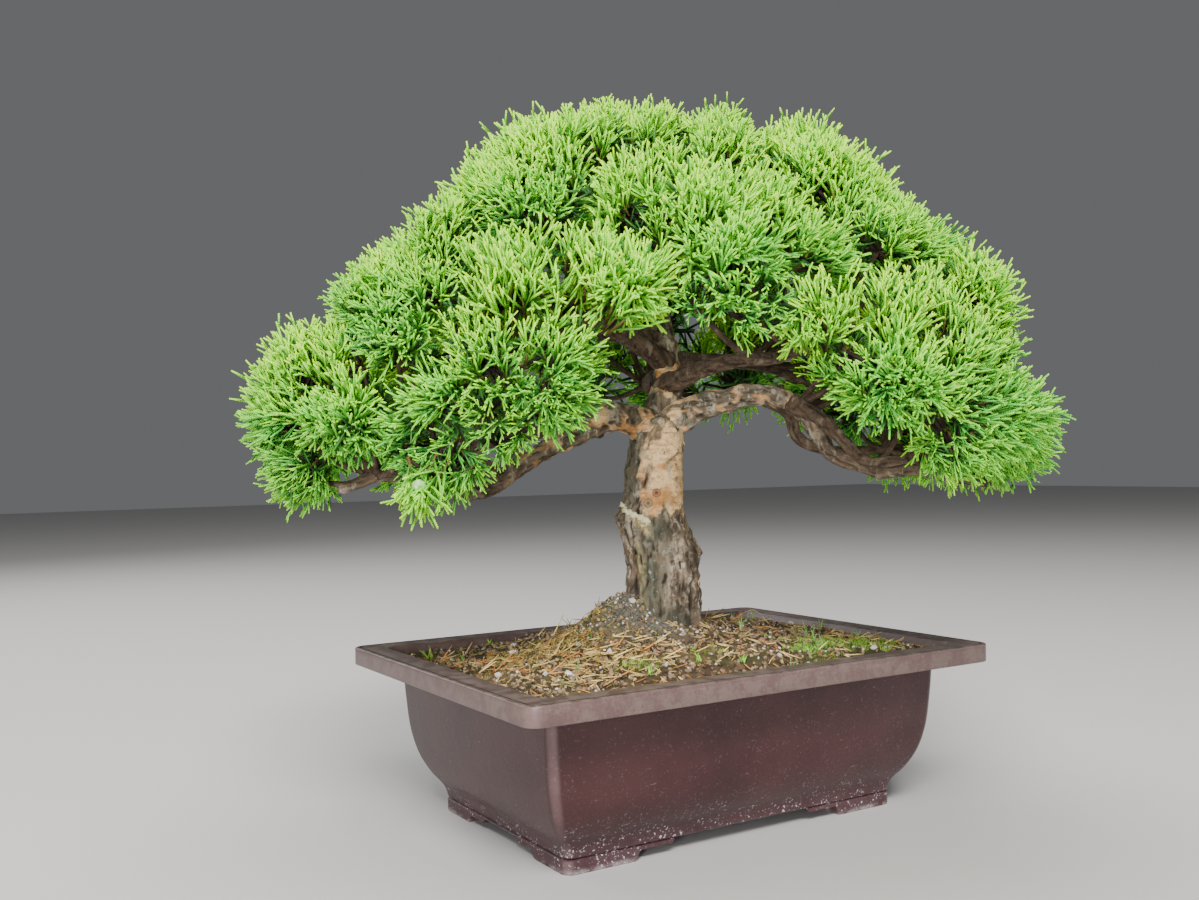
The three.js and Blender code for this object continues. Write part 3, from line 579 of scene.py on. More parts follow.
def pot_plastic():
    """Satin purplish brown plastic, lighter round the rim and down its rounded corners, where a little wear
    and a painted highlight lie, with painted shade in the rim's groove and under the rim, and dust and
    scuffs towards the foot.
    """
    s = Shader("pot_plastic", Specular_IOR_Level=0.3, Coat_Weight=0.15, Coat_Roughness=0.26)
    at = s.place()
    height = s.along(at, "Z")
    under = POT_HEIGHT - RIM_DEPTH
    cloud = s.noise(at, 60, 4, 0.6)
    mottle = s.noise(at, 9, 4, 0.65)
    fine = s.noise(at, 1.1, 3, 0.6)
    streak = s.noise(s.stretched(at, 1, 1, 0.14), 7, 3, 0.6)
    scratch = s.noise(s.stretched(at, 0.25, 0.25, 1), 1.6, 3, 0.6)
    body = s.mixed((cloud * 0.7 + fine * 0.3).between(0.35, 0.65),
                   (0.034, 0.0112, 0.0128), (0.058, 0.0205, 0.022))
    rim = s.mixed((mottle * 0.5 + fine * 0.5).between(0.35, 0.65),
                  (0.108, 0.064, 0.061), (0.146, 0.093, 0.087))
    top = s.mixed(mottle.between(0.4, 0.6), (0.09, 0.058, 0.05), (0.17, 0.12, 0.105))
    # Painted shade: a dark line along the rim's groove, where the groove would hold shade.
    middle = RIM_GROOVE["inset"] + RIM_GROOVE["width"] / 2
    off_groove = ((rim_inset(s, at) - middle) / RIM_GROOVE["width"]).absolute()
    groove_shade = (1 - off_groove.between(0.35, 0.7)) * height.between(POT_HEIGHT - 2, POT_HEIGHT - 1.2)
    shade = height.between(under - 6, under) * (1 - height.between(under, under + 0.3))
    # Painted highlight, partly wear: the rounded corners, where the surface faces two sides at once, are
    # lighter and a little glossier.
    facing = s.node("ShaderNodeNewGeometry", output="Normal")
    edge = (s.along(facing, "X") * s.along(facing, "Y")).absolute().between(0.16, 0.5)
    low = 1 - height.between(4, 34)
    dust = (mottle * 0.6 + streak * 0.2 + low * 0.4).between(0.55, 1.0)
    spray = s.noise(at, 1.5, 2, 0.7).between(0.6, 0.66) * (low * 0.9 + 0.06)
    scuff = scratch.between(0.66, 0.7) * mottle.between(0.5, 0.6) * 0.5
    worn = (1 - height.between(0.5, 3.5)) * mottle.between(0.35, 0.6)
    wall = height.between(INNER_SLOPE_END, INNER_SLOPE_END + 4)
    inside = mottle.between(0.45, 0.6) * wall * (1 - height.between(POT_HEIGHT - 2.5, POT_HEIGHT - 1.5))
    colour = s.layered(
        body,
        (height.between(under - 1, under), rim),
        (height.between(POT_HEIGHT - 0.5, POT_HEIGHT - 0.1), top),
        (groove_shade * 0.9, (0.018, 0.012, 0.01)),
        (shade * 0.75, (0.008, 0.004, 0.004)),
        (edge * (0.3 + mottle * 0.7) * 0.6, (0.22, 0.145, 0.145)),
        (dust * 0.35, (0.13, 0.085, 0.095)),
        (spray * mottle.between(0.4, 0.55), (0.62, 0.58, 0.6)),
        (scuff, (0.22, 0.165, 0.17)),
        (worn * 0.7, (0.34, 0.29, 0.3)),
        (inside * 0.5, (0.16, 0.12, 0.1)),
    )
    rough = 0.3 + cloud * 0.08 + mottle * 0.1 + fine * 0.06 + dust * 0.25 + spray * 0.3 - edge * 0.1
    bump = s.bump(fine * 0.35 + mottle * 0.4 + scratch * 0.25, 0.3)
    return s.set(Base_Color=colour, Roughness=rough, Normal=bump)


def knot_colour(s, at, colour):
    """Dark ringed knots at their places on the trunk."""
    for degrees, height, size, strength in KNOTS:
        centre, radius = trunk_at(height)
        angle = radians(degrees)
        place = tree_point(centre + radius * cos(angle), radius * sin(angle), height) / MM
        apart = s.node("ShaderNodeVectorMath", {"operation": "DISTANCE"}, {0: at, 1: tuple(place)}, "Value")
        apart = apart + s.noise(at, 1.6, 2) * 0.7 - 0.35
        ring = (1 - ((apart - size * 0.9).absolute() / (size * 0.3)).between(0.3, 1)) * strength
        colour = s.mixed(ring * 0.75, colour, (0.1, 0.055, 0.035))
        flesh = (0.36, 0.16, 0.07) if strength == 1 else (0.3, 0.23, 0.13)
        heart = (0.13, 0.022, 0.01) if strength == 1 else (0.12, 0.075, 0.04)
        colour = s.mixed((1 - apart.between(size * 0.62, size * 0.8)) * strength, colour, flesh)
        colour = s.mixed((1 - apart.between(size * 0.25, size * 0.5)) * strength, colour, heart)
    return colour


def trunk_bark():
    """Flaking grey-brown bark with algae and pale streaks, and smooth pinkish tan bark where it is off;
    painted shade darkens the trunk's foot and, as twig bark, the old limbs far out.
    """
    s = Shader("juniper_bark", Specular_IOR_Level=0.3)
    at = s.place()
    along = s.stored("along")
    relief = s.stored("relief")
    young = s.stored("young")
    bare = s.stored("smooth")
    unrolled = s.node("ShaderNodeCombineXYZ", inputs={"X": s.stored("around"), "Y": along * 0.2, "Z": 0.0})
    grain = s.noise(unrolled, 2.4, 5, 0.65, 0.6)
    streak = s.noise(s.stretched(at, 1, 1, 0.3), 5.5, 4, 0.6, 0.8)
    patch = s.noise(at, 14, 3, 0.6)
    fleck = s.noise(at, 3.2, 4, 0.65, 0.5)
    fine = s.noise(at, 1.1, 3, 0.6)
    soft = (streak * 0.4 + fleck * 0.6).between(0.36, 0.6)
    pale_streak = (streak * 0.6 + fleck * 0.4).between(0.48, 0.62) * relief.between(0.3, 0.65)
    algae = s.stored("algae")
    specks = fleck.between(0.6, 0.68) * fine.between(0.4, 0.6) * algae
    damp = s.stored("dark").between(0.1, 0.8) * (1 - soft * 0.5)
    grey = s.layered(
        s.mixed(grain.between(0.35, 0.65), (0.045, 0.033, 0.022), (0.27, 0.207, 0.142)),
        (patch.between(0.42, 0.62) * 0.45, (0.32, 0.2, 0.115)),
        (pale_streak * 0.7, (0.78, 0.7, 0.55)),
        (s.stored("pale") * soft * 0.8, (0.66, 0.54, 0.41)),
        (algae.between(0.1, 0.7) * (0.3 + soft * 0.55), (0.04, 0.056, 0.038)),
        (s.stored("lichen").between(0.1, 0.7) * soft * 0.85, (0.46, 0.43, 0.2)),
        (specks * 0.7, (0.62, 0.64, 0.52)),
        (damp * 0.85, (0.045, 0.034, 0.025)),
        # Painted shade: darker towards the trunk's foot.
        ((1 - s.along(at, "Z").between(98, 124)) * (0.25 + (1 - soft) * 0.6), (0.03, 0.028, 0.02)),
        ((1 - relief.between(0.18, 0.56)) * 0.92, (0.026, 0.019, 0.013)),
    )
    wrinkle = s.noise(s.stretched(at, 0.35, 0.35, 1), 2.6, 4, 0.6, 0.7)
    pale = s.layered(
        s.mixed(patch.between(0.34, 0.58), (0.58, 0.26, 0.07), (1.0, 0.67, 0.34)),
        (wrinkle.between(0.5, 0.64) * 0.7, (0.4, 0.17, 0.055)),
        (streak.between(0.5, 0.66) * 0.65, (0.5, 0.43, 0.28)),
        (fleck.between(0.53, 0.66) * 0.65, (0.26, 0.15, 0.08)),
        (fine.between(0.5, 0.8) * 0.3, (0.36, 0.23, 0.13)),
    )
    twig = s.layered(
        s.mixed((grain * 0.6 + fleck * 0.4).between(0.38, 0.62), (0.032, 0.02, 0.013), (0.13, 0.083, 0.053)),
        (streak.between(0.56, 0.66) * relief.between(0.4, 0.7) * 0.5, (0.3, 0.22, 0.15)),
        ((1 - relief.between(0.15, 0.5)) * 0.8, (0.012, 0.008, 0.006)),
    )
    shed = (bare + (fleck - 0.5) * 0.7 + (fine - 0.5) * 0.3).between(0.2, 0.8)
    crumble = s.mixed(fleck.between(0.4, 0.6), (0.28, 0.2, 0.09), (0.7, 0.6, 0.32))
    lip = s.mixed(fine.between(0.4, 0.7), (0.9, 0.84, 0.56), (0.66, 0.56, 0.3))
    colour = s.layered(
        grey,
        (shed, pale),
        # Twig bark, which on the old limbs' outer lengths is also painted shade.
        (young, twig),
        (s.stored("crumble") * 0.8, crumble),
        (s.stored("scar").between(0.2, 0.7), lip),
        (s.stored("crack") * 0.8, (0.16, 0.07, 0.03)),
    )
    colour = knot_colour(s, at, colour)
    rough = 0.88 - shed * 0.3 + fine * 0.08
    bump = s.bump(grain * 0.45 + fine * 0.25 + fleck * 0.3, 0.8)
    return s.set(Base_Color=colour, Roughness=rough, Normal=bump)


def foliage_green():
    """Cord foliage: brown wood at the foot of a spray, then dark green, with yellow-green tips."""
    s = Shader("juniper_foliage", Specular_IOR_Level=0.1, Roughness=0.55)
    tip = s.stored("tip")
    tone = s.stored("tone")
    drift = s.noise(s.place(), 55, 2)
    # Each spray's tone runs from blue-green to yellow-green; on the outer sprays it is lighter on a lobe's
    # upper side as painted light.
    deep = s.mixed(tone, (0.01, 0.07, 0.028), (0.035, 0.14, 0.01))
    green = s.mixed(tone, (0.075, 0.4, 0.07), (0.26, 0.7, 0.025))
    light = s.mixed(tone, (0.2, 0.74, 0.06), (0.58, 1.0, 0.02))
    colour = s.mixed(tip.between(0.0, 0.6), deep, green)
    colour = s.mixed((tip + drift * 0.4 - 0.2).between(0.62, 1.0), colour, light)
    colour = s.mixed(s.stored("woody"), colour, (0.15, 0.075, 0.03))
    scales = (s.stored("along") * 5.2).wave() * 0.5 + 0.5
    return s.set(Base_Color=colour, Normal=s.bump(scales, 0.12))


def soil_surface():
    """Packed dark granules with straw, moss and grey pumice dust between them."""
    s = Shader("bonsai_soil", Specular_IOR_Level=0.25, Roughness=0.92)
    at = s.place()
    pick = s.along(s.cells(at, 2.6), 0)
    fine = s.noise(at, 1.2, 4, 0.7)
    colour = s.layered(
        s.mixed(pick, (0.03, 0.019, 0.012), (0.12, 0.075, 0.042)),
        (s.noise(at, 26, 3).between(0.5, 0.7) * 0.7, (0.17, 0.13, 0.05)),
        (s.noise(at, 15, 3).between(0.5, 0.6) * 0.7, (0.045, 0.05, 0.018)),
        (fine.between(0.62, 0.75) * 0.5, (0.3, 0.25, 0.19)),
        (s.stored("grey") * fine.between(0.35, 0.6), (0.2, 0.2, 0.175)),
        (s.stored("moss") * fine.between(0.3, 0.5), (0.07, 0.12, 0.02)),
    )
    bump = s.bump(fine, 0.6)
    return s.set(Base_Color=colour, Normal=bump)


def toned(name, dark, light, roughness=0.9, size=1.0, depth=0.25):
    """A matt finish between two colours, picked for each copy by its tone."""
    s = Shader(name, Specular_IOR_Level=0.25, Roughness=roughness)
    fine = s.noise(s.place(), size, 3, 0.7)
    colour = s.mixed((s.stored("tone") * 0.75 + fine * 0.5 - 0.12).between(0.0, 1.0), dark, light)
    return s.set(Base_Color=colour, Normal=s.bump(fine, depth))


def mesh_plastic():
    """Black plastic mesh with a film of soil."""
    s = Shader("drain_mesh", Specular_IOR_Level=0.4)
    at = s.place()
    fine = s.noise(at, 1.5, 3, 0.6)
    colour = s.mixed(fine.between(0.4, 0.7), (0.014, 0.014, 0.015), (0.06, 0.052, 0.046))
    return s.set(Base_Color=colour, Roughness=0.45 + fine * 0.3, Normal=s.bump(fine, 0.15))


def cone_skin():
    """A pale green juniper cone under a whitish bloom."""
    s = Shader("juniper_cone", Specular_IOR_Level=0.4, Roughness=0.5)
    at = s.place()
    bloom = s.noise(at, 2.4, 3, 0.6)
    colour = s.mixed(bloom.between(0.35, 0.65), (0.2, 0.46, 0.12), (0.44, 0.72, 0.28))
    return s.set(Base_Color=colour, Normal=s.bump(bloom, 0.15))


# Geometry Nodes

class Grower:
    """One Geometry Nodes tree that ends in Realize Instances and Set Material."""

    def __init__(self, name, inputs):
        self.tree = bpy.data.node_groups.new(name, "GeometryNodeTree")
        face = self.tree.interface
        face.new_socket("Geometry", in_out="INPUT", socket_type="NodeSocketGeometry")
        for socket, kind in inputs:
            face.new_socket(socket, in_out="INPUT", socket_type="NodeSocket" + kind)
        face.new_socket("Geometry", in_out="OUTPUT", socket_type="NodeSocketGeometry")
        self.start = self.tree.nodes.new("NodeGroupInput")

    def given(self, name):
        return self.start.outputs[name]

    def node(self, kind, settings=None, inputs=None, output=0):
        return add_node(self.tree, kind, settings, inputs, output)

    def stored(self, name, kind="FLOAT"):
        return self.node("GeometryNodeInputNamedAttribute", {"data_type": kind}, {"Name": name})

    def random(self, low, high, kind="FLOAT"):
        """A random value from low to high for each point or copy, from the tree's own seed."""
        output = ["FLOAT_VECTOR", "FLOAT", "INT"].index(kind)
        inputs = {2 * output: low, 2 * output + 1: high, 8: self.given("Seed")}
        return self.node("FunctionNodeRandomValue", {"data_type": kind}, inputs, output)

    def standing(self, way):
        return self.node("FunctionNodeAlignRotationToVector", {"axis": "Z"}, {"Vector": way})

    def copies(self, points, group, pick, rotation, spin, size):
        """Copies of a collection's meshes on points, each spun about its own Z."""
        about = self.node("ShaderNodeCombineXYZ", None, {"Z": spin})
        turned = self.node("FunctionNodeRotateRotation", {"rotation_space": "LOCAL"},
                           {"Rotation": rotation, "Rotate By": about})
        meshes = self.node("GeometryNodeCollectionInfo", None,
                           {"Collection": group, "Separate Children": True, "Reset Children": True})
        return self.node("GeometryNodeInstanceOnPoints", None,
                         {"Points": points, "Instance": meshes, "Pick Instance": True,
                          "Instance Index": pick, "Rotation": turned, "Scale": size})

    def toned(self, instances):
        """Keeps a random tone for each copy."""
        settings = {"data_type": "FLOAT", "domain": "INSTANCE"}
        inputs = {"Geometry": instances, "Name": "tone", "Value": self.random(0.0, 1.0)}
        return self.node("GeometryNodeStoreNamedAttribute", settings, inputs)

    def finish(self, instances):
        """Makes the copies real and gives them their material."""
        real = self.node("GeometryNodeRealizeInstances", None, {"Geometry": instances})
        made = self.node("GeometryNodeSetMaterial", None,
                         {"Geometry": real, "Material": self.given("Material")})
        end = self.tree.nodes.new("NodeGroupOutput")
        self.tree.links.new(made, end.inputs[0])
        return self.tree


def spray_grower():
    """Copies of sprays on points, each along its point's growth direction with its X side turned up."""
    g = Grower("grow_sprays", [("Sprays", "Collection"), ("Seed", "Int"), ("Material", "Material")])
    upright = g.standing(g.stored("growth", "FLOAT_VECTOR"))
    facing = g.node("FunctionNodeAlignRotationToVector", {"axis": "X", "pivot_axis": "Z"},
                    {"Rotation": upright, "Vector": (0, 0, 1)})
    copies = g.copies(g.given("Geometry"), g.given("Sprays"), g.stored("kind", "INT"), facing,
                      g.random(-0.9, 0.9), g.stored("length"))
    return g.finish(copies)


def litter_grower():
    """Copies of small things strewn over a surface where its mask allows, sunk in a little."""
    g = Grower("strew_litter", [("Litter", "Collection"), ("Kinds", "Int"), ("Density", "Float"),
                                ("Smallest", "Float"), ("Largest", "Float"), ("Tilt", "Float"),
                                ("Sink", "Float"), ("Seed", "Int"), ("Material", "Material")])
    density = g.node("ShaderNodeMath", {"operation": "MULTIPLY"},
                     {0: g.stored("mask"), 1: g.given("Density")})
    points = g.node("GeometryNodeDistributePointsOnFaces", None,
                    {"Mesh": g.given("Geometry"), "Density": density, "Seed": g.given("Seed")}, "Points")
    normal = points.node.outputs["Normal"]
    sink = g.node("ShaderNodeCombineXYZ", None, {"Z": g.given("Sink")})
    low = g.node("GeometryNodeSetPosition", None, {"Geometry": points, "Offset": sink})
    lean = g.random((-1.0, -1.0, -1.0), (1.0, 1.0, 1.0), "FLOAT_VECTOR")
    leaning = g.node("ShaderNodeVectorMath", {"operation": "SCALE"}, {0: lean, "Scale": g.given("Tilt")})
    way = g.node("ShaderNodeVectorMath", {"operation": "ADD"}, {0: leaning, 1: normal})
    copies = g.copies(low, g.given("Litter"), g.random(0, g.given("Kinds"), "INT"), g.standing(way),
                      g.random(0.0, 2 * pi), g.random(g.given("Smallest"), g.given("Largest")))
    return g.finish(g.toned(copies))


def grown(name, mesh, tree, **values):
    """The plain mesh that a tree grows from a mesh, as a new object."""
    guide = new_object(name + "_guide", mesh)
    modifier = guide.modifiers.new("grow", "NODES")
    modifier.node_group = tree
    for item in tree.interface.items_tree:
        if item.in_out == "INPUT" and item.name in values:
            modifier[item.identifier] = values[item.name]
    depsgraph = bpy.context.evaluated_depsgraph_get()
    made = bpy.data.meshes.new_from_object(guide.evaluated_get(depsgraph), depsgraph=depsgraph)
    guide.modifiers.clear()
    bpy.data.objects.remove(guide)
    made.name = name
    return add_object(name, made)


def kinds(name, meshes):
    """A collection of prototypes outside the scene."""
    group = bpy.data.collections.new(name)
    for i, mesh in enumerate(meshes):
        group.objects.link(bpy.data.objects.new(name + "_" + str(i), mesh))
    return group


def drop_kinds(group):
    for prototype in list(group.objects):
        bpy.data.objects.remove(prototype)
    bpy.data.collections.remove(group)


# Pot

def rounded_ring(maker, half_x, half_y, corner, z):
    """A rounded rectangle about the pot's centre, anticlockwise from above."""
    ring = []
    for quarter, (sign_x, sign_y) in enumerate(((1, 1), (-1, 1), (-1, -1), (1, -1))):
        for i in range(CORNER_STEPS + 1):
            angle = (quarter + i / CORNER_STEPS) * pi / 2
            x = sign_x * (half_x - corner) + corner * cos(angle)
            y = sign_y * (half_y - corner) + corner * sin(angle)
            ring.append(maker.point(pot_point(x, y, z)))
    return ring


def body_ring(maker, z, inset):
    return rounded_ring(maker, POT_BODY.x / 2 - inset, POT_BODY.y / 2 - inset, BODY_CORNER, z)


def rim_ring(maker, z, inset):
    return rounded_ring(maker, RIM.x / 2 - inset, RIM.y / 2 - inset, RIM_CORNER - inset, z)


def foot_ring(maker, z, inset):
    return rounded_ring(maker, POT_FOOT.x / 2 - inset, POT_FOOT.y / 2 - inset, BODY_CORNER, z)


def profile_curve(profile, step):
    """A smooth run of [height, inset] through a short profile."""
    route = smooth_route([(inset, 0, z) for z, inset in profile], step)
    return [(p.z, p.x) for p in route]


def close_rings(maker, rings):
    for ring_a, ring_b in zip(rings, rings[1:]):
        maker.bridge(ring_a, ring_b)
    maker.faces.append(tuple(rings[0][::-1]))
    maker.faces.append(tuple(rings[-1]))


def round_over(radius):
    """[inset, drop] pairs of a rounded edge, from its side to its top."""
    turns = [pi / 2 * i / ROUND_STEPS for i in range(ROUND_STEPS + 1)]
    return [(radius * (1 - cos(t)), radius * (1 - sin(t))) for t in turns]


def inner_profile():
    """[height, inset] of the pot's inside below its slope, down to the floor."""
    return [[INNER_SLOPE_END, 0], *[row for row in reversed(BODY_PROFILE) if row[0] > FLOOR_TOP],
            [FLOOR_TOP, BODY_PROFILE[0][1] + 1]]


def pot_shell():
    """The whole pot's outside and inside in one closed skin, before its feet are cut."""
    maker = MeshMaker()
    under = POT_HEIGHT - RIM_DEPTH
    foot = [(0, 0.6), (0.5, 0.1), (1, 0), (FOOT_HEIGHT - 0.6, 0), (FOOT_HEIGHT - 0.1, 0.4),
            (FOOT_HEIGHT + 0.2, 1.2)]
    rings = [foot_ring(maker, z, inset) for z, inset in foot]
    outside = profile_curve([*BODY_PROFILE, [under, 0]], PROFILE_STEP)
    rings += [body_ring(maker, z, inset) for z, inset in outside]
    rings += [rim_ring(maker, under + rise, inset) for inset, rise in [(0.7, 0), (0.25, 0.2), (0, 0.8)]]
    rings += [rim_ring(maker, POT_HEIGHT - drop, inset) for inset, drop in round_over(RIM_ROUND)]
    near = RIM_GROOVE["inset"]
    far = near + RIM_GROOVE["width"]
    deep = RIM_GROOVE["depth"]
    for inset, drop in ((near, 0), (near + 0.25, 0.7), (near + 0.5, deep),
                        (far - 0.5, deep), (far - 0.25, 0.7), (far, 0)):
        rings.append(rim_ring(maker, POT_HEIGHT - drop, inset))
    lip = RIM / 2 - Vector((RIM_TOP_WIDTH, RIM_TOP_WIDTH))
    for inset, drop in reversed(round_over(LIP_ROUND)):
        rings.append(rounded_ring(maker, lip.x + inset, lip.y + inset, BODY_CORNER, POT_HEIGHT - drop))
    rings += [body_ring(maker, z, inset + POT_WALL) for z, inset in inner_profile()]
    close_rings(maker, rings)
    return maker.mesh("pot_shell")


def arch_cutter(profile, span, across_x):
    """A prism through the foot between two of the pot's feet."""
    half = [(profile[0][0] + 1, -1), *profile]
    outline = half + [(-x, z) for x, z in reversed(half)]
    maker = MeshMaker()
    ends = []
    for side in (-span / 2, span / 2):
        places = [(side, x, z) if across_x else (x, side, z) for x, z in outline]
        ends.append([maker.point(pot_point(*place)) for place in places])
    close_rings(maker, ends)
    return maker.mesh("arch_cutter")


def recess_cutter():
    """The hollow under the pot's floor, inside its foot."""
    maker = MeshMaker()
    rings = [foot_ring(maker, -1, FOOT_BAND), foot_ring(maker, FLOOR_BOTTOM, FOOT_BAND)]
    close_rings(maker, rings)
    return maker.mesh("recess_cutter")


def drain_cutter(x):
    maker = MeshMaker()
    turns = [2 * pi * i / DRAIN_SIDES for i in range(DRAIN_SIDES)]
    rings = []
    for z in (0, 2 * FLOOR_TOP):
        rings.append([maker.point(pot_point(x + DRAIN_RADIUS * cos(t), DRAIN_RADIUS * sin(t), z))
                      for t in turns])
    close_rings(maker, rings)
    return maker.mesh("drain_cutter")


def cut(made, cutter_mesh):
    clean_shell(cutter_mesh)
    cutter = new_object("cutter", cutter_mesh)
    modifier = made.modifiers.new("cut", "BOOLEAN")
    modifier.operation = "DIFFERENCE"
    modifier.solver = "EXACT"
    modifier.object = cutter
    apply_modifiers(made)
    bpy.data.objects.remove(cutter)


def apply_modifiers(made):
    """The object's evaluated mesh takes the place of its own, with no modifier left."""
    depsgraph = bpy.context.evaluated_depsgraph_get()
    done = bpy.data.meshes.new_from_object(made.evaluated_get(depsgraph), depsgraph=depsgraph)
    made.modifiers.clear()
    old = made.data
    made.data = done
    bpy.data.meshes.remove(old)


def build_pot():
    mesh = pot_shell()
    clean_shell(mesh)
    made = add_object("bonsai_pot", mesh)
    cut(made, recess_cutter())
    cut(made, arch_cutter(LONG_SIDE_ARCH, RIM.y, False))
    cut(made, arch_cutter(SHORT_SIDE_ARCH, RIM.x, True))
    for x in (-DRAIN_OFFSET, DRAIN_OFFSET):
        cut(made, drain_cutter(x))
    made.data.materials.clear()
    made.data.materials.append(pot_plastic())
    made.data.shade_smooth()
    made.data.set_sharp_from_angle(angle=SHARP_EDGE)
    make_piece(made, "pot_plastic", "pot")


# Soil

def soil_height(x, y):
    """Height of the soil's surface at a place measured from the pot's centre."""
    u, v = tree_turned(x, y)
    mound = hill(hypot(x, y), SOIL_MOUND["height"], SOIL_MOUND["spread"])
    heap = hill(hypot(u - ROOT_MOUND["u"], v - ROOT_MOUND["v"]), ROOT_MOUND["height"],
                ROOT_MOUND["spread"])
    dip = hill(hypot(x - CORNER_DIP["x"], y - CORNER_DIP["y"]), CORNER_DIP["height"],
               CORNER_DIP["spread"])
    return SOIL_LEVEL + mound + heap + dip


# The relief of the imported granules, as [size, height] of coarse ones, of fine ones and of the swell.
SOIL_RELIEF = [[5.2, 1.5], [2.6, 0.9], [14, 1.3]]


def soil_grain(x, y):
    """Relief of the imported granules, in millimetres."""
    at = Vector((x, y, 0))
    (coarse_size, coarse_height), (fine_size, fine_height), (swell_size, swell_height) = SOIL_RELIEF
    coarse = noise.voronoi(at / coarse_size)[0][0]
    fine = noise.voronoi(at / fine_size + Vector((7, 3, 0)))[0][0]
    swell = noise.noise(at / swell_size)
    return coarse_height * (0.5 - coarse) + fine_height * (0.5 - fine) + swell_height * swell


def inside_mouth(x, y, half):
    """Draws a point of the soil's square corner onto the arc of the pot's mouth."""
    corner = BODY_CORNER
    past_x = abs(x) - (half.x - corner)
    past_y = abs(y) - (half.y - corner)
    if past_x <= 0 or past_y <= 0:
        return x, y
    reach = hypot(past_x, past_y)
    if reach <= corner:
        return x, y
    share = corner / reach
    return (copysign(half.x - corner + past_x * share, x),
            copysign(half.y - corner + past_y * share, y))


# Spots on the soil in the tree's own axes: [u, v, spread, strength].
MOSS_SPOTS = [[82, -42, 8, 1.0], [94, -18, 11, 1.0], [116, -8, 9, 1.0], [133, -6, 7, 0.8],
              [-18, -86, 6, 0.8], [24, -62, 4, 0.5]]
OCHRE_SPOTS = [[-56, -30, 13, 1.0], [-84, -52, 16, 0.6], [-44, -66, 12, 0.5]]
GREY_SPOTS = [[-25, -8, 20, 1.0], [4, -26, 10, 0.6]]
MOUND_SPOTS = [[-25, -12, 14, 1.0], [0, 0, 22, 1.0]]
STRAW_SPOTS = [[-66, -56, 34, 1.0], [-34, -84, 22, 0.8], [30, -50, 30, 0.3], [118, 4, 22, 0.5],
               [0, 0, 110, 0.12]]
# The distances from the trunk's middle at which litter starts and is at its full density.
TRUNK_CLEARANCE = [17, 22]

# Sprouts of grass that stand alone, as [u, v, blades, height], and the dry stalk that arches over the
# soil.
SPROUTS = [
    [14, -81, 3, 8], [-14, -100, 6, 5], [38, -77, 4, 4], [-143, 12, 4, 9], [66, 112, 2, 9], [104, 52, 2, 9],
    [-22, -92, 5, 4], [79, -48, 9, 5], [85, -41, 9, 5], [90, -32, 8, 6], [76, -40, 7, 4], [98, -22, 6, 5],
    [120, 2, 5, 5], [-108, 40, 3, 5],
]
SPROUT_SEED = 41
STALK = {"from": [54, 100], "to": [76, 92], "height": 10, "radius": 0.4, "steps": 12}


def spot_mask(spots, place):
    """How strongly a place on the soil lies in the spots, from 0 to 1."""
    u, v, _ = tree_axes(place)
    hills = [hill(hypot(u - su, v - sv), strength, spread) for su, sv, spread, strength in spots]
    return min(sum(hills), 1)


def soil_piece():
    """The packed soil: a fine granular top, and plain sides down to the pot's floor. Gives its points
    and faces, and how many of the points are on its top."""
    gap = Vector((SOIL_GAP, SOIL_GAP))
    lip = RIM / 2 - Vector((RIM_TOP_WIDTH, RIM_TOP_WIDTH))
    low = POT_BODY / 2 - Vector((POT_WALL, POT_WALL))
    share = (SOIL_EDGE - INNER_SLOPE_END) / (POT_HEIGHT - INNER_SLOPE_END)
    half = low.lerp(lip, share) - gap
    maker = MeshMaker("moss", "grey")
    columns = round(2 * half.x / SOIL_CELL)
    rows = round(2 * half.y / SOIL_CELL)
    grid = []
    for j in range(rows + 1):
        line = []
        for i in range(columns + 1):
            x, y = inside_mouth(half.x * (2 * i / columns - 1), half.y * (2 * j / rows - 1), half)
            inward = smoothstep(min(half.x - abs(x), half.y - abs(y)), 0, SOIL_BLEND)
            level = mix(SOIL_EDGE + SOIL_EDGE_LIFT, soil_height(x, y) + SOIL_LIFT, inward)
            place = pot_point(x, y, level + soil_grain(x, y))
            line.append(maker.point(place, moss=spot_mask(MOSS_SPOTS, place),
                                    grey=spot_mask(GREY_SPOTS, place)))
        grid.append(line)
    for line_a, line_b in zip(grid, grid[1:]):
        for i in range(columns):
            maker.faces.append((line_a[i], line_a[i + 1], line_b[i + 1], line_b[i]))
    rim = [*grid[0][:-1], *[line[-1] for line in grid[:-1]], *grid[-1][:0:-1],
           *[line[0] for line in grid[:0:-1]]]
    top_count = len(maker.points)
    steps = [[SOIL_EDGE - 3, half]]
    for z, inset in inner_profile():
        steps.append([z + SOIL_GAP, low - Vector((inset + SOIL_GAP, inset + SOIL_GAP))])
    above = rim
    for z, size in steps:
        below = []
        for index in rim:
            top = (maker.points[index] - POT_CENTRE) / MM
            below.append(maker.point(pot_point(top.x * size.x / half.x, top.y * size.y / half.y, z)))
        maker.bridge(below, above)
        above = below
    maker.faces.append(tuple(above[::-1]))
    made = add_object("packed_soil", maker.mesh("packed_soil"), soil_surface())
    make_piece(made, "soil", "soil")
    return maker, top_count


def surface_patch(maker, top_count, litter):
    """The soil's top alone, with a mask of where one kind of litter lies."""
    patch = MeshMaker("mask")
    for place in maker.points[:top_count]:
        patch.point(place, mask=litter_mask(litter, place))
    patch.faces = [face for face in maker.faces if len(face) == 4 and max(face) < top_count]
    return patch.mesh("soil_patch")


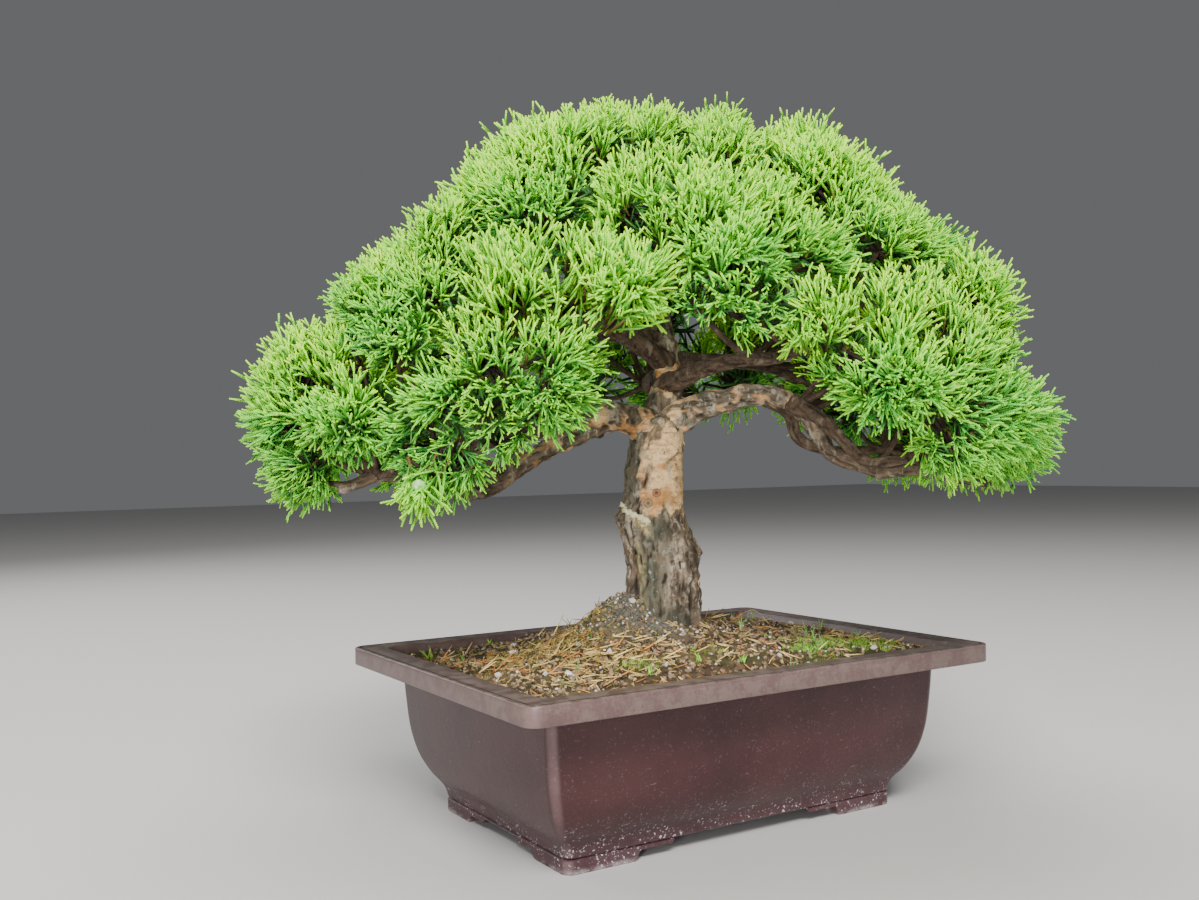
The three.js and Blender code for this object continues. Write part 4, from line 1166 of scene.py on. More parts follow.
def crumb_mesh(draw):
    """An eight-sided crumb about 1 mm across."""
    maker = MeshMaker()
    ring = []
    for k in range(4):
        turn = pi / 2 * k + draw.uniform(-0.4, 0.4)
        reach = draw.uniform(0.38, 0.62)
        place = Vector((reach * cos(turn), reach * sin(turn), draw.uniform(-0.1, 0.1)))
        ring.append(maker.point(place * MM))
    for height, loop in ((0.42, ring), (-0.42, ring[::-1])):
        tip = Vector((draw.uniform(-0.2, 0.2), draw.uniform(-0.2, 0.2), height))
        maker.cap(loop, maker.point(tip * MM))
    return maker.mesh("crumb")


def stone_mesh(draw):
    """A rough little stone about 1 mm across."""
    edit = bmesh.new()
    bmesh.ops.create_icosphere(edit, subdivisions=1, radius=0.5 * MM)
    for vertex in edit.verts:
        vertex.co *= draw.uniform(0.75, 1.2)
        vertex.co.z *= 0.9
        vertex.co.x *= 1.2
    return edited_mesh(edit, "stone")


def needle_mesh(draw, index, curl):
    """Bits of fallen needles 5 to 15 mm long, lying nearly flat: each third kind is a pair."""
    maker = MeshMaker()
    for side in (-1, 1) if index % 3 == 0 else (1,):
        bend = draw.uniform(-0.3, 1) * curl
        opening = draw.uniform(0.12, 0.45) * side
        length = draw.uniform(5, 15)
        route = []
        for k in range(4):
            t = k / 3
            reach = length * t
            place = Vector((reach * cos(opening), reach * sin(opening) + bend * t * t * side,
                            0.6 + draw.uniform(0, 0.5) * t))
            route.append(place * MM)
        maker.tube(route, [r * MM for r in (0.42, 0.44, 0.38, 0.2)], 3, blunt=True)
    return maker.mesh("fallen_needle")


def moss_mesh(draw):
    """A small cushion of pointed moss leaves up to 3 mm high."""
    maker = MeshMaker()
    for k in range(9):
        turn = LEAF_TURN * k + draw.uniform(-0.3, 0.3)
        spread = 0.35 + 0.22 * k * 0.5
        foot = Vector((0.35 * k ** 0.5 * cos(turn), 0.35 * k ** 0.5 * sin(turn), -0.5)) * MM
        tip = foot + Vector((spread * cos(turn), spread * sin(turn), draw.uniform(1.6, 3.0))) * MM
        side = Vector((-sin(turn), cos(turn), 0)) * 0.28 * MM
        out = flat_way(turn) * 0.25 * MM
        ring = [maker.point(foot + side), maker.point(foot - side), maker.point(foot - out)]
        maker.cap(ring[::-1], maker.point(tip))
        maker.faces.append(tuple(ring))
    return maker.mesh("moss")


def grass_mesh(draw):
    """Three blades of grass 6 to 13 mm high from one foot."""
    maker = MeshMaker()
    for _ in range(3):
        turn = draw.uniform(0, 2 * pi)
        height = draw.uniform(6, 13)
        lean = draw.uniform(0.15, 0.6) * height
        route = []
        for t in (0, 0.25, 0.5, 0.75, 1):
            out = lean * t * t
            route.append(Vector((out * cos(turn), out * sin(turn), height * t - 0.5)) * MM)
        maker.tube(route, [r * MM for r in (0.45, 0.45, 0.38, 0.26, 0.08)], 3)
    return maker.mesh("grass")


# Litter on the soil. Each has a shape, with how many kinds of it and their seed; where it lies, as base
# plus gain times its spots; its dark and light finish; its pieces for each square centimetre at full
# density; its least and greatest scale; how far it leans; and how deep it is sunk, in millimetres.
LITTER = [
    {"name": "soil_granules", "shape": crumb_mesh, "kinds": 8, "shape_seed": 3, "base": 1,
     "finish": [(0.03, 0.02, 0.013), (0.34, 0.235, 0.15)],
     "density": 7.5, "scale": (1.2, 3.4), "tilt": 1.2, "sink": 0.2, "seed": 21},
    {"name": "pumice_bits", "shape": crumb_mesh, "kinds": 6, "shape_seed": 4,
     "base": 0.35, "gain": 2, "spots": GREY_SPOTS, "finish": [(0.16, 0.15, 0.12), (0.85, 0.8, 0.72)],
     "density": 3.6, "scale": (0.8, 2.3), "tilt": 1.2, "sink": 0.3, "seed": 22},
    {"name": "pumice_stones", "shape": stone_mesh, "kinds": 6, "shape_seed": 5, "base": 1,
     "finish": [(0.55, 0.5, 0.42), (0.86, 0.82, 0.75), 0.9, 1.2, 0.6],
     "density": 0.03, "scale": (3.0, 5.2), "tilt": 1.0, "sink": 0.8, "seed": 31},
    {"name": "bark_crumbs", "shape": crumb_mesh, "kinds": 8, "shape_seed": 14,
     "base": 0.15, "spots": STRAW_SPOTS, "finish": [(0.07, 0.065, 0.022), (0.5, 0.37, 0.15)],
     "density": 4.2, "scale": (1.0, 2.8), "tilt": 1.4, "sink": 0.6, "seed": 34},
    {"name": "straw_needles", "shape": needle_mesh, "kinds": 12, "shape_seed": 6, "curl": 2.0,
     "spots": STRAW_SPOTS, "off_mound": True, "finish": [(0.42, 0.26, 0.07), (0.98, 0.72, 0.28), 0.6],
     "density": 2.2, "scale": (0.6, 1.05), "tilt": 0.45, "sink": 0.8, "seed": 23, "smooth": True},
    {"name": "rusty_needles", "shape": needle_mesh, "kinds": 10, "shape_seed": 16, "curl": 4.5, "base": 0.1,
     "spots": STRAW_SPOTS, "off_mound": True, "finish": [(0.2, 0.08, 0.03), (0.74, 0.33, 0.1), 0.6],
     "density": 1.5, "scale": (0.5, 1.0), "tilt": 0.6, "sink": 0.6, "seed": 33, "smooth": True},
    {"name": "olive_needles", "shape": needle_mesh, "kinds": 8, "shape_seed": 36, "curl": 3.0, "base": 0.1,
     "spots": OCHRE_SPOTS, "off_mound": True, "finish": [(0.12, 0.13, 0.03), (0.46, 0.4, 0.12), 0.7],
     "density": 3.2, "scale": (0.45, 0.9), "tilt": 0.7, "sink": 0.6, "seed": 35, "smooth": True},
    {"name": "green_moss", "shape": moss_mesh, "kinds": 6, "shape_seed": 7,
     "spots": MOSS_SPOTS, "finish": [(0.05, 0.16, 0.015), (0.34, 0.55, 0.07)],
     "density": 16, "scale": (0.7, 1.5), "tilt": 0.6, "sink": -0.1, "seed": 24},
    {"name": "ochre_moss", "shape": moss_mesh, "kinds": 6, "shape_seed": 8,
     "spots": OCHRE_SPOTS, "finish": [(0.16, 0.12, 0.02), (0.62, 0.48, 0.12)],
     "density": 9, "scale": (0.7, 1.4), "tilt": 0.8, "sink": -0.1, "seed": 25},
    {"name": "grass_blades", "shape": grass_mesh, "kinds": 6, "shape_seed": 9, "base": 0.1,
     "spots": MOSS_SPOTS, "finish": [(0.08, 0.28, 0.04), (0.32, 0.6, 0.16), 0.55],
     "density": 0.35, "scale": (0.5, 1.1), "tilt": 0.25, "sink": 0.0, "seed": 26, "smooth": True},
]
MOUND_BARE = 0.9
PER_SQUARE_CENTIMETRE = 10000


def litter_mask(litter, place):
    """How thickly one kind of litter lies at a place, where 1 is its full density."""
    share = litter.get("base", 0) + litter.get("gain", 1) * spot_mask(litter.get("spots", []), place)
    if litter.get("off_mound"):
        share *= 1 - MOUND_BARE * spot_mask(MOUND_SPOTS, place)
    from_trunk = hypot(place.x - POT_CENTRE.x, place.y - POT_CENTRE.y) / MM
    return share * smoothstep(from_trunk, *TRUNK_CLEARANCE)


def litter_shapes(litter):
    """The kinds of one sort of litter, all drawn from its seed."""
    draw = random.Random(litter["shape_seed"])
    if "curl" in litter:
        return [litter["shape"](draw, index, litter["curl"]) for index in range(litter["kinds"])]
    return [litter["shape"](draw) for _ in range(litter["kinds"])]


def strew(patch, tree, litter):
    """Strews one kind of litter over the soil's top."""
    name = litter["name"]
    smallest, largest = litter["scale"]
    group = kinds(name + "_kind", litter_shapes(litter))
    made = grown(name, patch, tree, Litter=group, Kinds=litter["kinds"] - 1,
                 Density=litter["density"] * PER_SQUARE_CENTIMETRE, Smallest=smallest, Largest=largest,
                 Tilt=litter["tilt"], Sink=litter["sink"] * MM, Seed=litter["seed"],
                 Material=toned(name, *litter["finish"]))
    drop_kinds(group)
    if not litter.get("smooth"):
        made.data.shade_flat()
    make_piece(made, "soil")


def build_soil():
    maker, top_count = soil_piece()
    tree = litter_grower()
    for litter in LITTER:
        strew(surface_patch(maker, top_count, litter), tree, litter)


def soil_place(u, v):
    """A place on the soil's surface, from the tree's own axes."""
    place = (tree_point(u, v, 0) - POT_CENTRE) / MM
    return tree_point(u, v, soil_height(place.x, place.y))


def build_sprouts():
    """Single sprouts of grass, in blades that lean out from one foot."""
    draw = random.Random(SPROUT_SEED)
    maker = MeshMaker("tone")
    for u, v, blades, height in SPROUTS:
        for _ in range(blades):
            turn = draw.uniform(0, 2 * pi)
            rise = height * draw.uniform(0.6, 1.1)
            lean = rise * draw.uniform(0.2, 0.8)
            foot = soil_place(u + draw.uniform(-1.6, 1.6), v + draw.uniform(-1.6, 1.6))
            tone = draw.uniform(0.2, 1)
            route = []
            for t in (0, 0.35, 0.7, 1):
                out = lean * t * t
                route.append(foot + Vector((out * cos(turn), out * sin(turn), rise * t - 0.8)) * MM)
            radii = [r * MM for r in (0.55, 0.6, 0.48, 0.1)]
            maker.tube(route, radii, 3, lambda step, turn: {"tone": tone})
    made = add_object("grass_sprouts", maker.mesh("grass_sprouts"),
                      toned("grass_sprouts", (0.08, 0.36, 0.03), (0.42, 0.82, 0.1), 0.55))
    make_piece(made, "soil")


def build_stalk():
    """A dry stalk in an arch, with both ends in the soil."""
    maker = MeshMaker("tone")
    start = soil_place(*STALK["from"])
    end = soil_place(*STALK["to"])
    route = []
    radii = []
    for k in range(STALK["steps"] + 1):
        t = k / STALK["steps"]
        rise = (STALK["height"] * sin(pi * t) ** 0.8 - 1) * MM
        route.append(start.lerp(end, t) + Vector((0, 0, rise)))
        radii.append(STALK["radius"] * MM * mix(1, 0.6, t))
    maker.tube(route, radii, 5, lambda step, turn: {"tone": 0.5})
    made = add_object("dry_stalk", maker.mesh("dry_stalk"),
                      toned("dry_stalk", (0.3, 0.2, 0.1), (0.72, 0.58, 0.36), 0.7))
    make_piece(made, "soil")


# Wood

def trunk_at(z):
    """The trunk's centre and radius at a height, eased between the rows of its table."""
    for (z0, u0, r0), (z1, u1, r1) in zip(TRUNK, TRUNK[1:]):
        if z <= z1:
            share = smoothstep(z, z0, z1) * 0.5 + (z - z0) / (z1 - z0) * 0.5
            return mix(u0, u1, share), mix(r0, r1, share)
    return TRUNK[-1][1], TRUNK[-1][2]


def trunk_radius(angle, z, radius):
    """The trunk's smooth form: flutes, root flare and old swellings."""
    flutes = TRUNK_FLUTES
    fade = smoothstep(z, flutes["from"], flutes["to"])
    flute = flutes["depth"] * (1 - fade) * cos(flutes["count"] * angle + z / flutes["pitch"])
    roots = ROOT_FLARE
    flare = roots["height"] * exp(-max(z - roots["start"], 0) / roots["fade"])
    around = 0.5 + 0.5 * cos(roots["count"] * angle + roots["turn"])
    buttress = 0 if z < roots["lowest"] else flare * around
    swelling = 0
    for degrees, height, proud, spread in TRUNK_SWELLINGS:
        across = radius * abs(wrap(angle - radians(degrees)))
        swelling += hill(hypot(across, z - height), proud, spread)
    return radius * (1 + flute) + buttress + swelling


# Marks on the trunk, whose front is at -90 degrees: knots as [degrees from u, height, size, strength],
# streaks of the bark as [degrees, height, half width, half height], snags as [degrees, height, how far
# proud, spread], and burls as [centre, half sizes].
KNOTS = [[-87, 189.2, 2.5, 1.0], [-103, 183.2, 2.7, 0.8], [-42, 197.4, 1.6, 0.7]]
LIP = {"angle": -48, "height": 210, "wide": 7, "high": 1.5, "slope": -0.6}
SCAR = {"from": -172, "to": -100, "top": 183, "drop": 11, "wide": 1.1, "below": 9}
SMOOTH_BARK = {"from": 171, "to": 185, "worn": 220, "turn": -54, "spread": 64, "fade": 44}
EYE = {"angle": -81, "height": 164, "wide": 7, "tall": 8.5}
BARK_ZONES = {
    "algae": [[-110, 131, 6, 17], [-95, 113, 14, 8], [-84, 103, 12, 6], [-152, 204, 8, 16], [-88, 168, 6, 5],
              [60, 130, 9, 14]],
    "lichen": [[-132, 146, 2.6, 10], [-126, 116, 2.5, 9], [150, 140, 3, 12], [-112, 171, 3, 2.5]],
    "pale": [[-83, 141, 3.4, 12], [-127, 162, 1.2, 3.5], [-62, 150, 2, 10], [-120, 128, 1.4, 8],
             [120, 150, 3, 12]],
    "dark": [[-50, 124, 7, 10], [-70, 131, 2.4, 12], [-147, 122, 4, 12], [-60, 168, 4, 6], [-37, 150, 3, 12],
             [-150, 168, 3, 8], [20, 140, 6, 12]],
}
SNAGS = [[-6, 152, 2.6, 2.2], [-4, 139, 1.6, 1.6], [-178, 176, 1.8, 3.2], [-14, 96, 2.2, 2.6]]
BURLS = [[[-3, 0, 226], [15.5, 14, 11]], [[-17, -4, 233], [11, 10.5, 8.5]], [[12, -1, 234], [12, 10.5, 9]],
         [[2, 6, 240], [11.5, 11.5, 12]]]


# The bark's relief in millimetres, and its ridges and flakes as [across, along].
BARK_DEPTH = {"old": 1.8, "smooth": 0.3}
RIDGE_SIZE = [4.2, 21]
FLAKE_SIZE = [5.5, 8.5]


def patchy(at):
    """Noise in broad patches with ragged edges."""
    return noise.fractal(at, 0.9, 2.1, 3)


def round_wood(angle, z, lumps, tall):
    """Where to read noise with so many lumps to the trunk's radius, each so many millimetres tall."""
    return Vector((cos(angle) * lumps, sin(angle) * lumps, z / tall))


def bark_relief(angle, along, radius):
    """Ridges and flakes that run along the wood, from -1 to 1."""
    around = flat_way(angle) * radius
    at = Vector((around.x / RIDGE_SIZE[0], around.y / RIDGE_SIZE[0], along / RIDGE_SIZE[1]))
    ridge = 1 - 2 * abs(patchy(at))
    at = Vector((around.x / FLAKE_SIZE[0], around.y / FLAKE_SIZE[0], along / FLAKE_SIZE[1]))
    flake = noise.voronoi(at)[0]
    crack = smoothstep(flake[1] - flake[0], 0.0, 0.22)
    return 0.62 * ridge + 0.5 * crack - 0.5


def scar_shares(angle, z):
    """The pale lip of an old cut, and the crumbling wood below it."""
    turn = in_degrees(wrap(angle - radians(SCAR["from"])))
    span = SCAR["to"] - SCAR["from"]
    ends = smoothstep(turn, -6, 4) * (1 - smoothstep(turn, span - 8, span + 4))
    ragged = noise.noise(round_wood(angle, z, 4, 5)) * 1.1
    down = SCAR["top"] - SCAR["drop"] * turn / span - z + ragged
    wide = SCAR["wide"] * (0.6 + 1.2 * turn / span)
    lip = (1 - smoothstep(abs(down), wide * 0.6, wide * 1.3)) * ends
    deep = SCAR["below"] * smoothstep(turn, 18, span - 10)
    below = smoothstep(down, 0.5, 2) * (1 - smoothstep(down, deep * 0.6, deep * 1.2 + 0.1)) * ends
    return lip, below


def smooth_share(angle, z):
    """Where old bark has come off and the trunk is smooth."""
    facing = in_degrees(abs(wrap(angle - radians(SMOOTH_BARK["turn"]))))
    edge = patchy(round_wood(angle, z, 2.4, 11))
    share = smoothstep(z + edge * 13, SMOOTH_BARK["from"], SMOOTH_BARK["to"])
    share *= 1 - 0.75 * smoothstep(z + edge * 16, SMOOTH_BARK["worn"], SMOOTH_BARK["worn"] + 10)
    spread = SMOOTH_BARK["spread"] + edge * 30
    half_fade = SMOOTH_BARK["fade"] / 2
    return share * (1 - smoothstep(facing, spread - half_fade, spread + half_fade))


def knot_relief(angle, z, radius):
    """How far the ring of a branch knot stands proud at a place."""
    proud = 0
    for degrees, height, size, _ in KNOTS:
        across = radius * abs(wrap(angle - radians(degrees)))
        distance = hypot(across, z - height)
        proud += hill(distance - size, 0.6, size * 0.35) - hill(distance, 0.9, size * 0.5)
    return proud


def lip_depth(angle, z, radius):
    """The dark crack under a flaking lip of bark, and the lip above it."""
    across = radius * wrap(angle - radians(LIP["angle"]))
    above = z - LIP["height"] + across * LIP["slope"]
    ends = 1 - smoothstep(abs(across), LIP["wide"] * 0.6, LIP["wide"])
    return hill(above, 1, LIP["high"] * 0.6) * ends, hill(above - 2 * LIP["high"], 1, LIP["high"]) * ends


WOOD_VALUES = ("along", "around", "relief", "young", "smooth", "algae", "lichen", "pale", "dark", "scar",
               "crumble", "crack")
TRUNK_SIDES = 112
TRUNK_STEP = 1.5
BURL_SIDES = 30
BURL_ROWS = 16
FLAKE_STEPS = 4
FLAKE_HALF = 0.25
TORN_FLAKES = 4
LOOSE_FLAKES = 34


def zone_share(zones, angle, z, radius):
    """How strongly a place on the trunk lies in one of the streaks [degrees, height, across, up]."""
    share = 0
    for degrees, height, wide, tall in zones:
        across = radius * wrap(angle - radians(degrees)) / wide
        share = max(share, exp(-(across ** 2 + ((z - height) / tall) ** 2) / 2))
    return share


def eye_rings(angle, z, radius):
    """Swirls of bark that have closed over an old branch stub: ridges round an oval, and its share."""
    across = radius * wrap(angle - radians(EYE["angle"])) / EYE["wide"]
    reach = hypot(across, (z - EYE["height"]) / EYE["tall"])
    reach += 0.12 * noise.noise(Vector((across * 1.5, z / 6, 5)))
    share = 1 - smoothstep(reach, 0.75, 1.35)
    return share * cos(reach * 8.5), share


def trunk_point(angle, z, centre, radius):
    """A place on the trunk's bark in the tree's own axes, with the values for its finish."""
    form = trunk_radius(angle, z, radius)
    bare = smooth_share(angle, z)
    lip, crumble = scar_shares(angle, z)
    bare *= 1 - crumble
    proud = knot_relief(angle, z, radius)
    crack, flap = lip_depth(angle, z, radius)
    swirl, eye = eye_rings(angle, z, radius)
    relief = mix(bark_relief(angle, z, radius), swirl * 0.4 + 0.1, eye * 0.75)
    depth = mix(BARK_DEPTH["old"], BARK_DEPTH["smooth"], bare)
    wrinkle = 0.5 * bare * noise.noise(round_wood(angle, z, 2.6, 2.3))
    for degrees, height, tall, spread in SNAGS:
        across = radius * abs(wrap(angle - radians(degrees)))
        wrinkle += hill(hypot(across, z - height), tall, spread)
    reach = form + relief * depth + proud + lip * 1.3 + wrinkle - crack * 1.2 + flap * 1.3 - crumble * 0.8
    green = noise.noise(round_wood(angle, z, 1.7, 26))
    values = {"along": z, "around": angle * radius, "relief": relief * 0.5 + 0.5, "smooth": bare,
              "scar": lip, "crumble": crumble, "crack": crack}
    for name, zones in BARK_ZONES.items():
        values[name] = zone_share(zones, angle, z, radius)
    values["algae"] = max(values["algae"], 0.5 * smoothstep(green, -0.1, 0.4)) * (1 - bare)
    return Vector((centre + reach * cos(angle), reach * sin(angle), z)), values


def add_burl(maker, centre, size, seed):
    """A lump of barky wood where limbs meet."""
    rings = []
    for k in range(1, BURL_ROWS):
        rise = pi * (k / BURL_ROWS - 0.5)
        ring = []
        for i in range(BURL_SIDES):
            angle = 2 * pi * i / BURL_SIDES
            way = Vector((cos(rise) * cos(angle), cos(rise) * sin(angle), sin(rise)))
            relief = bark_relief(angle, centre[2] + size[2] * sin(rise) + seed, size[0])
            lump = 1 + 0.1 * noise.noise(way * 2 + Vector((seed, 0, 0))) + relief * 0.1
            place = Vector(centre) + Vector((way.x * size[0], way.y * size[1], way.z * size[2])) * lump
            bare = smoothstep(patchy(place / 13), 0.0, 0.3)
            ring.append(maker.point(tree_point(*place), along=place.z, around=angle * size[0],
                                    relief=relief * 0.5 + 0.5, smooth=bare * 0.7, algae=0.4))
        rings.append(ring)
    close_rings(maker, rings)


def add_flake(maker, foot, out, down, wide, long, curl, values):
    """A thin scale of loose bark, fixed along its top and curling off the wood below."""
    side = out.cross(down).normalized()
    front = []
    back = []
    for k in range(FLAKE_STEPS + 1):
        share = k / FLAKE_STEPS
        middle = foot + down * (long * share) + out * (curl * share * share + FLAKE_HALF)
        half = side * (wide / 2 * (1 - 0.75 * share ** 2.5))
        for rows, lift in ((front, FLAKE_HALF), (back, -FLAKE_HALF)):
            rows.append([maker.point(tree_point(*(middle + half + out * lift)), **values),
                         maker.point(tree_point(*(middle - half + out * lift)), **values)])
    for k in range(FLAKE_STEPS):
        maker.faces.append((front[k][0], front[k][1], front[k + 1][1], front[k + 1][0]))
        maker.faces.append((back[k][1], back[k][0], back[k + 1][0], back[k + 1][1]))
        maker.faces.append((front[k][1], back[k][1], back[k + 1][1], front[k + 1][1]))
        maker.faces.append((back[k][0], front[k][0], front[k + 1][0], back[k + 1][0]))
    maker.faces.append((front[0][1], front[0][0], back[0][0], back[0][1]))
    maker.faces.append((front[-1][0], front[-1][1], back[-1][1], back[-1][0]))


def add_flakes(maker):
    """Loose bark on the trunk: a torn pale row on the old cut, and odd scales below it and at the fork."""
    draw = random.Random(17)
    for k in range(TORN_FLAKES):
        turn = mix(SCAR["from"] + 8, SCAR["to"] - 6, k / (TORN_FLAKES - 1)) + draw.uniform(-2, 2)
        share = (turn - SCAR["from"]) / (SCAR["to"] - SCAR["from"])
        z = SCAR["top"] - SCAR["drop"] * share
        add_trunk_flake(maker, turn, z - 1, draw.uniform(5, 7), draw.uniform(1.8, 3), draw.uniform(0.8, 1.6),
                        {"relief": 0.9, "scar": 0.9}, True)
    for _ in range(LOOSE_FLAKES):
        turn = draw.uniform(-180, 180)
        z = draw.choice((draw.uniform(100, 172), draw.uniform(100, 172), draw.uniform(205, 222)))
        add_trunk_flake(maker, turn, z, draw.uniform(1.5, 3.5), draw.uniform(3, 8), draw.uniform(0.4, 1.6),
                        {"relief": draw.uniform(0.4, 0.9), "algae": 0.4, "smooth": draw.choice((0.0, 0.7))},
                        False)


def add_trunk_flake(maker, degrees, z, wide, long, curl, values, upward):
    """A flake on the trunk's bark, whose free end points up or down."""
    angle = radians(degrees)
    centre, radius = trunk_at(z)
    place, _ = trunk_point(angle, z, centre, radius)
    out = flat_way(angle)
    down = Vector((0, 0, 1 if upward else -1))
    values = {"along": z, "around": angle * radius, **values}
    add_flake(maker, place - out * 0.6, out, down, wide, long, curl, values)


def add_trunk(maker):
    low, high = TRUNK[0][0], TRUNK[-1][0]
    count = round((high - low) / TRUNK_STEP)
    rings = []
    for k in range(count + 1):
        z = mix(low, high, k / count)
        centre, radius = trunk_at(z)
        ring = []
        for i in range(TRUNK_SIDES):
            place, values = trunk_point(2 * pi * i / TRUNK_SIDES, z, centre, radius)
            ring.append(maker.point(tree_point(*place), **values))
        rings.append(ring)
    close_rings(maker, rings)


def limb_step(limb):
    """How far apart a limb's rings are: closer on a stout one."""
    return 2.6 if limb["from"] > 6 else 3.4


def add_limb(maker, route, start, end, sides, seed, young):
    """A tapering limb with a collar at its start, lumps and bark along it."""
    count = len(route) - 1
    lengths = lengths_along(route, MM)
    collar = 0.1 if start > 9 else 0.45
    radii = []
    for i in range(count + 1):
        taper = mix(end, start, (1 - i / count) ** LIMB_TAPER)
        radii.append(taper * (1 + collar * exp(-lengths[i] / (1.6 * start))))
    reliefs = {}

    def reach(angle, step):
        along = lengths[step] + seed * 50
        radius = radii[step]
        relief = bark_relief(angle, along, radius)
        lump = noise.noise(Vector((along / 11, angle * 0.6 + seed, seed))) * 0.2
        reliefs[(step, round(angle * sides / (2 * pi)))] = relief
        return radius * MM * (1 + lump + relief * mix(0.19, 0.1, young))

    def values(step, turn):
        angle = turn * 2 * pi
        relief = reliefs.get((step, round(turn * sides)), 0)
        at = round_wood(angle, lengths[step], 1, 11) + Vector((seed, 0, 0))
        bare = smoothstep(patchy(at), -0.15, 0.3)
        # Twig bark on young wood, and painted shade on the old limbs: their outer lengths, under the crown,
        # take the darker twig bark.
        twig_bark_and_shade = max(young, 0.6 * smoothstep(lengths[step], 45, 150))
        return {"along": lengths[step] + 50 * seed, "around": angle * radii[step],
                "relief": relief * 0.5 + 0.5, "young": twig_bark_and_shade, "smooth": bare * (1 - twig_bark_and_shade) * 0.8,
                "algae": 0.3}

    maker.tube(route, [r * MM for r in radii], sides, values, reach)


def crown_tufts():
    """The centres of the crown's tufts in the tree's own axes."""
    tufts = []
    for bearing, z, radius in FRONT_TUFTS:
        angle = radians(bearing)
        share = sqrt(1 - ((z - DOME["centre"]) / DOME["z"]) ** 2)
        reach = share / hypot(sin(angle) / DOME["u"], cos(angle) / DOME["v"])
        tufts.append([Vector((reach * sin(angle), -reach * cos(angle), z)), radius])
    tufts.append([Vector((0, 0, TOP_TUFT["height"])), TOP_TUFT["radius"]])
    for z, radius, left, right, back, first, last, count in TIERS:
        marks = []
        for i in range(TIER_MARKS + 1):
            angle = radians(mix(first, last, i / TIER_MARKS))
            side = right if sin(angle) > 0 else left
            reach = 1 / hypot(sin(angle) / side, cos(angle) / back)
            marks.append(Vector((reach * sin(angle), -reach * cos(angle), z)))
        for centre in spaced(marks, count - 1):
            if all((other - centre).length >= TUFT_SPACING for other, _ in tufts):
                tufts.append([centre, radius])
    return tufts


def filled_crown(tufts):
    """The tufts with smaller ones in the hollows between them, so that the crown closes, and all of them
    drawn in round its shoulder."""
    tufts = tufts + [[Vector(place), radius] for *place, radius in HOLLOW_TUFTS]
    hollows = []
    for i, (a, _) in enumerate(tufts):
        for j in range(i + 1, len(tufts)):
            b = tufts[j][0]
            if (a - b).length > FILL["span"]:
                continue
            hollows.append((a + b) / 2)
            for c, _ in tufts[j + 1:]:
                if (a - c).length < FILL["span"] and (b - c).length < FILL["span"]:
                    hollows.append((a + b + c) / 3)
    gaps = [min((place - c).length - r for c, r in tufts) for place in hollows]
    while max(gaps) > FILL["gap"]:
        k = gaps.index(max(gaps))
        centre = hollows[k] - outward_of(hollows[k]) * FILL["depth"]
        radius = min(max(gaps[k] + FILL["overlap"], FILL["least"]), FILL["most"])
        tufts.append([centre, radius])
        gaps = [min(gap, (place - centre).length - radius) for gap, place in zip(gaps, hollows)]
        gaps[k] = min(gaps[k], 0)
    for tuft in tufts:
        inward = hill(tuft[0].z - SHOULDER["height"], SHOULDER["inward"], SHOULDER["spread"])
        tuft[0] = tuft[0] - Vector((tuft[0].x, tuft[0].y, 0)).normalized() * inward
    return tufts


def outward_of(place):
    """The way out of the dome at a place in the tree's own axes."""
    rise = place.z - DOME["centre"]
    way = Vector((place.x / DOME["u"] ** 2, place.y / DOME["v"] ** 2, rise / DOME["z"] ** 2))
    return way.normalized()


def limb_routes():
    """Each limb's route in the tree's own axes, fine and in the coarse steps that twigs grow from."""
    fine = [smooth_route(limb["points"], limb_step(limb)) for limb in LIMBS]
    stations = []
    for route, steps in zip(fine, LIMB_STEPS):
        for i in range(2, steps):
            stations.append(route[round(i / steps * (len(route) - 1))])
    return fine, stations


def twig_route(centre, radius, tufts, stations):
    """A twig to a tuft from the limb that serves it by the shortest clear way."""
    best = None
    for station in stations:
        way = centre - station
        cost = way.length
        for other, other_radius in tufts:
            if (other - centre).length < 1:
                continue
            share = min(max((other - station).dot(way) / way.length_squared, 0), 1)
            if (station + way * share - other).length < other_radius * 0.8:
                cost += TWIG["detour"]
        if best is None or cost < best[0]:
            best = (cost, station)
    start = best[1]
    length = (centre - start).length
    end = centre.lerp(start, radius * TWIG["short"] / length)
    middle = start.lerp(end, 0.5) - Vector((0, 0, TWIG["sag"] * length))
    return smooth_route([start, middle, end], TWIG["step"])


def place_route(route):
    return [tree_point(*p) for p in route]


def build_wood(tufts):
    """All the wood in one piece. Gives the guides of the sprays that grow on it."""
    maker = MeshMaker(*WOOD_VALUES)
    add_trunk(maker)
    fine, stations = limb_routes()
    for index, (limb, route) in enumerate(zip(LIMBS, fine)):
        sides = 20 if limb["from"] > 9 else 14
        young = 0.0 if index < OLD_LIMBS else 0.9
        add_limb(maker, place_route(route), limb["from"], limb["to"], sides, index + 1, young)
    ends = []
    for index, (centre, radius) in enumerate(tufts):
        route = twig_route(centre, radius, tufts, stations)
        add_limb(maker, place_route(route), TWIG["from"], TWIG["to"], 5, index + 30, 1.0)
        ends.append(route[-1])
    for seed, (centre, size) in enumerate(BURLS):
        add_burl(maker, centre, size, seed * 7)
    add_flakes(maker)
    guides = spray_guides(tufts, ends)
    for guide in guides:
        if guide["kind"] < SPRAY_KINDS:
            add_twiglet(maker, guide)
    made = add_object("juniper_wood", maker.mesh("juniper_wood"), trunk_bark())
    make_piece(made, "bark", "trunk_and_branches")
    return guides


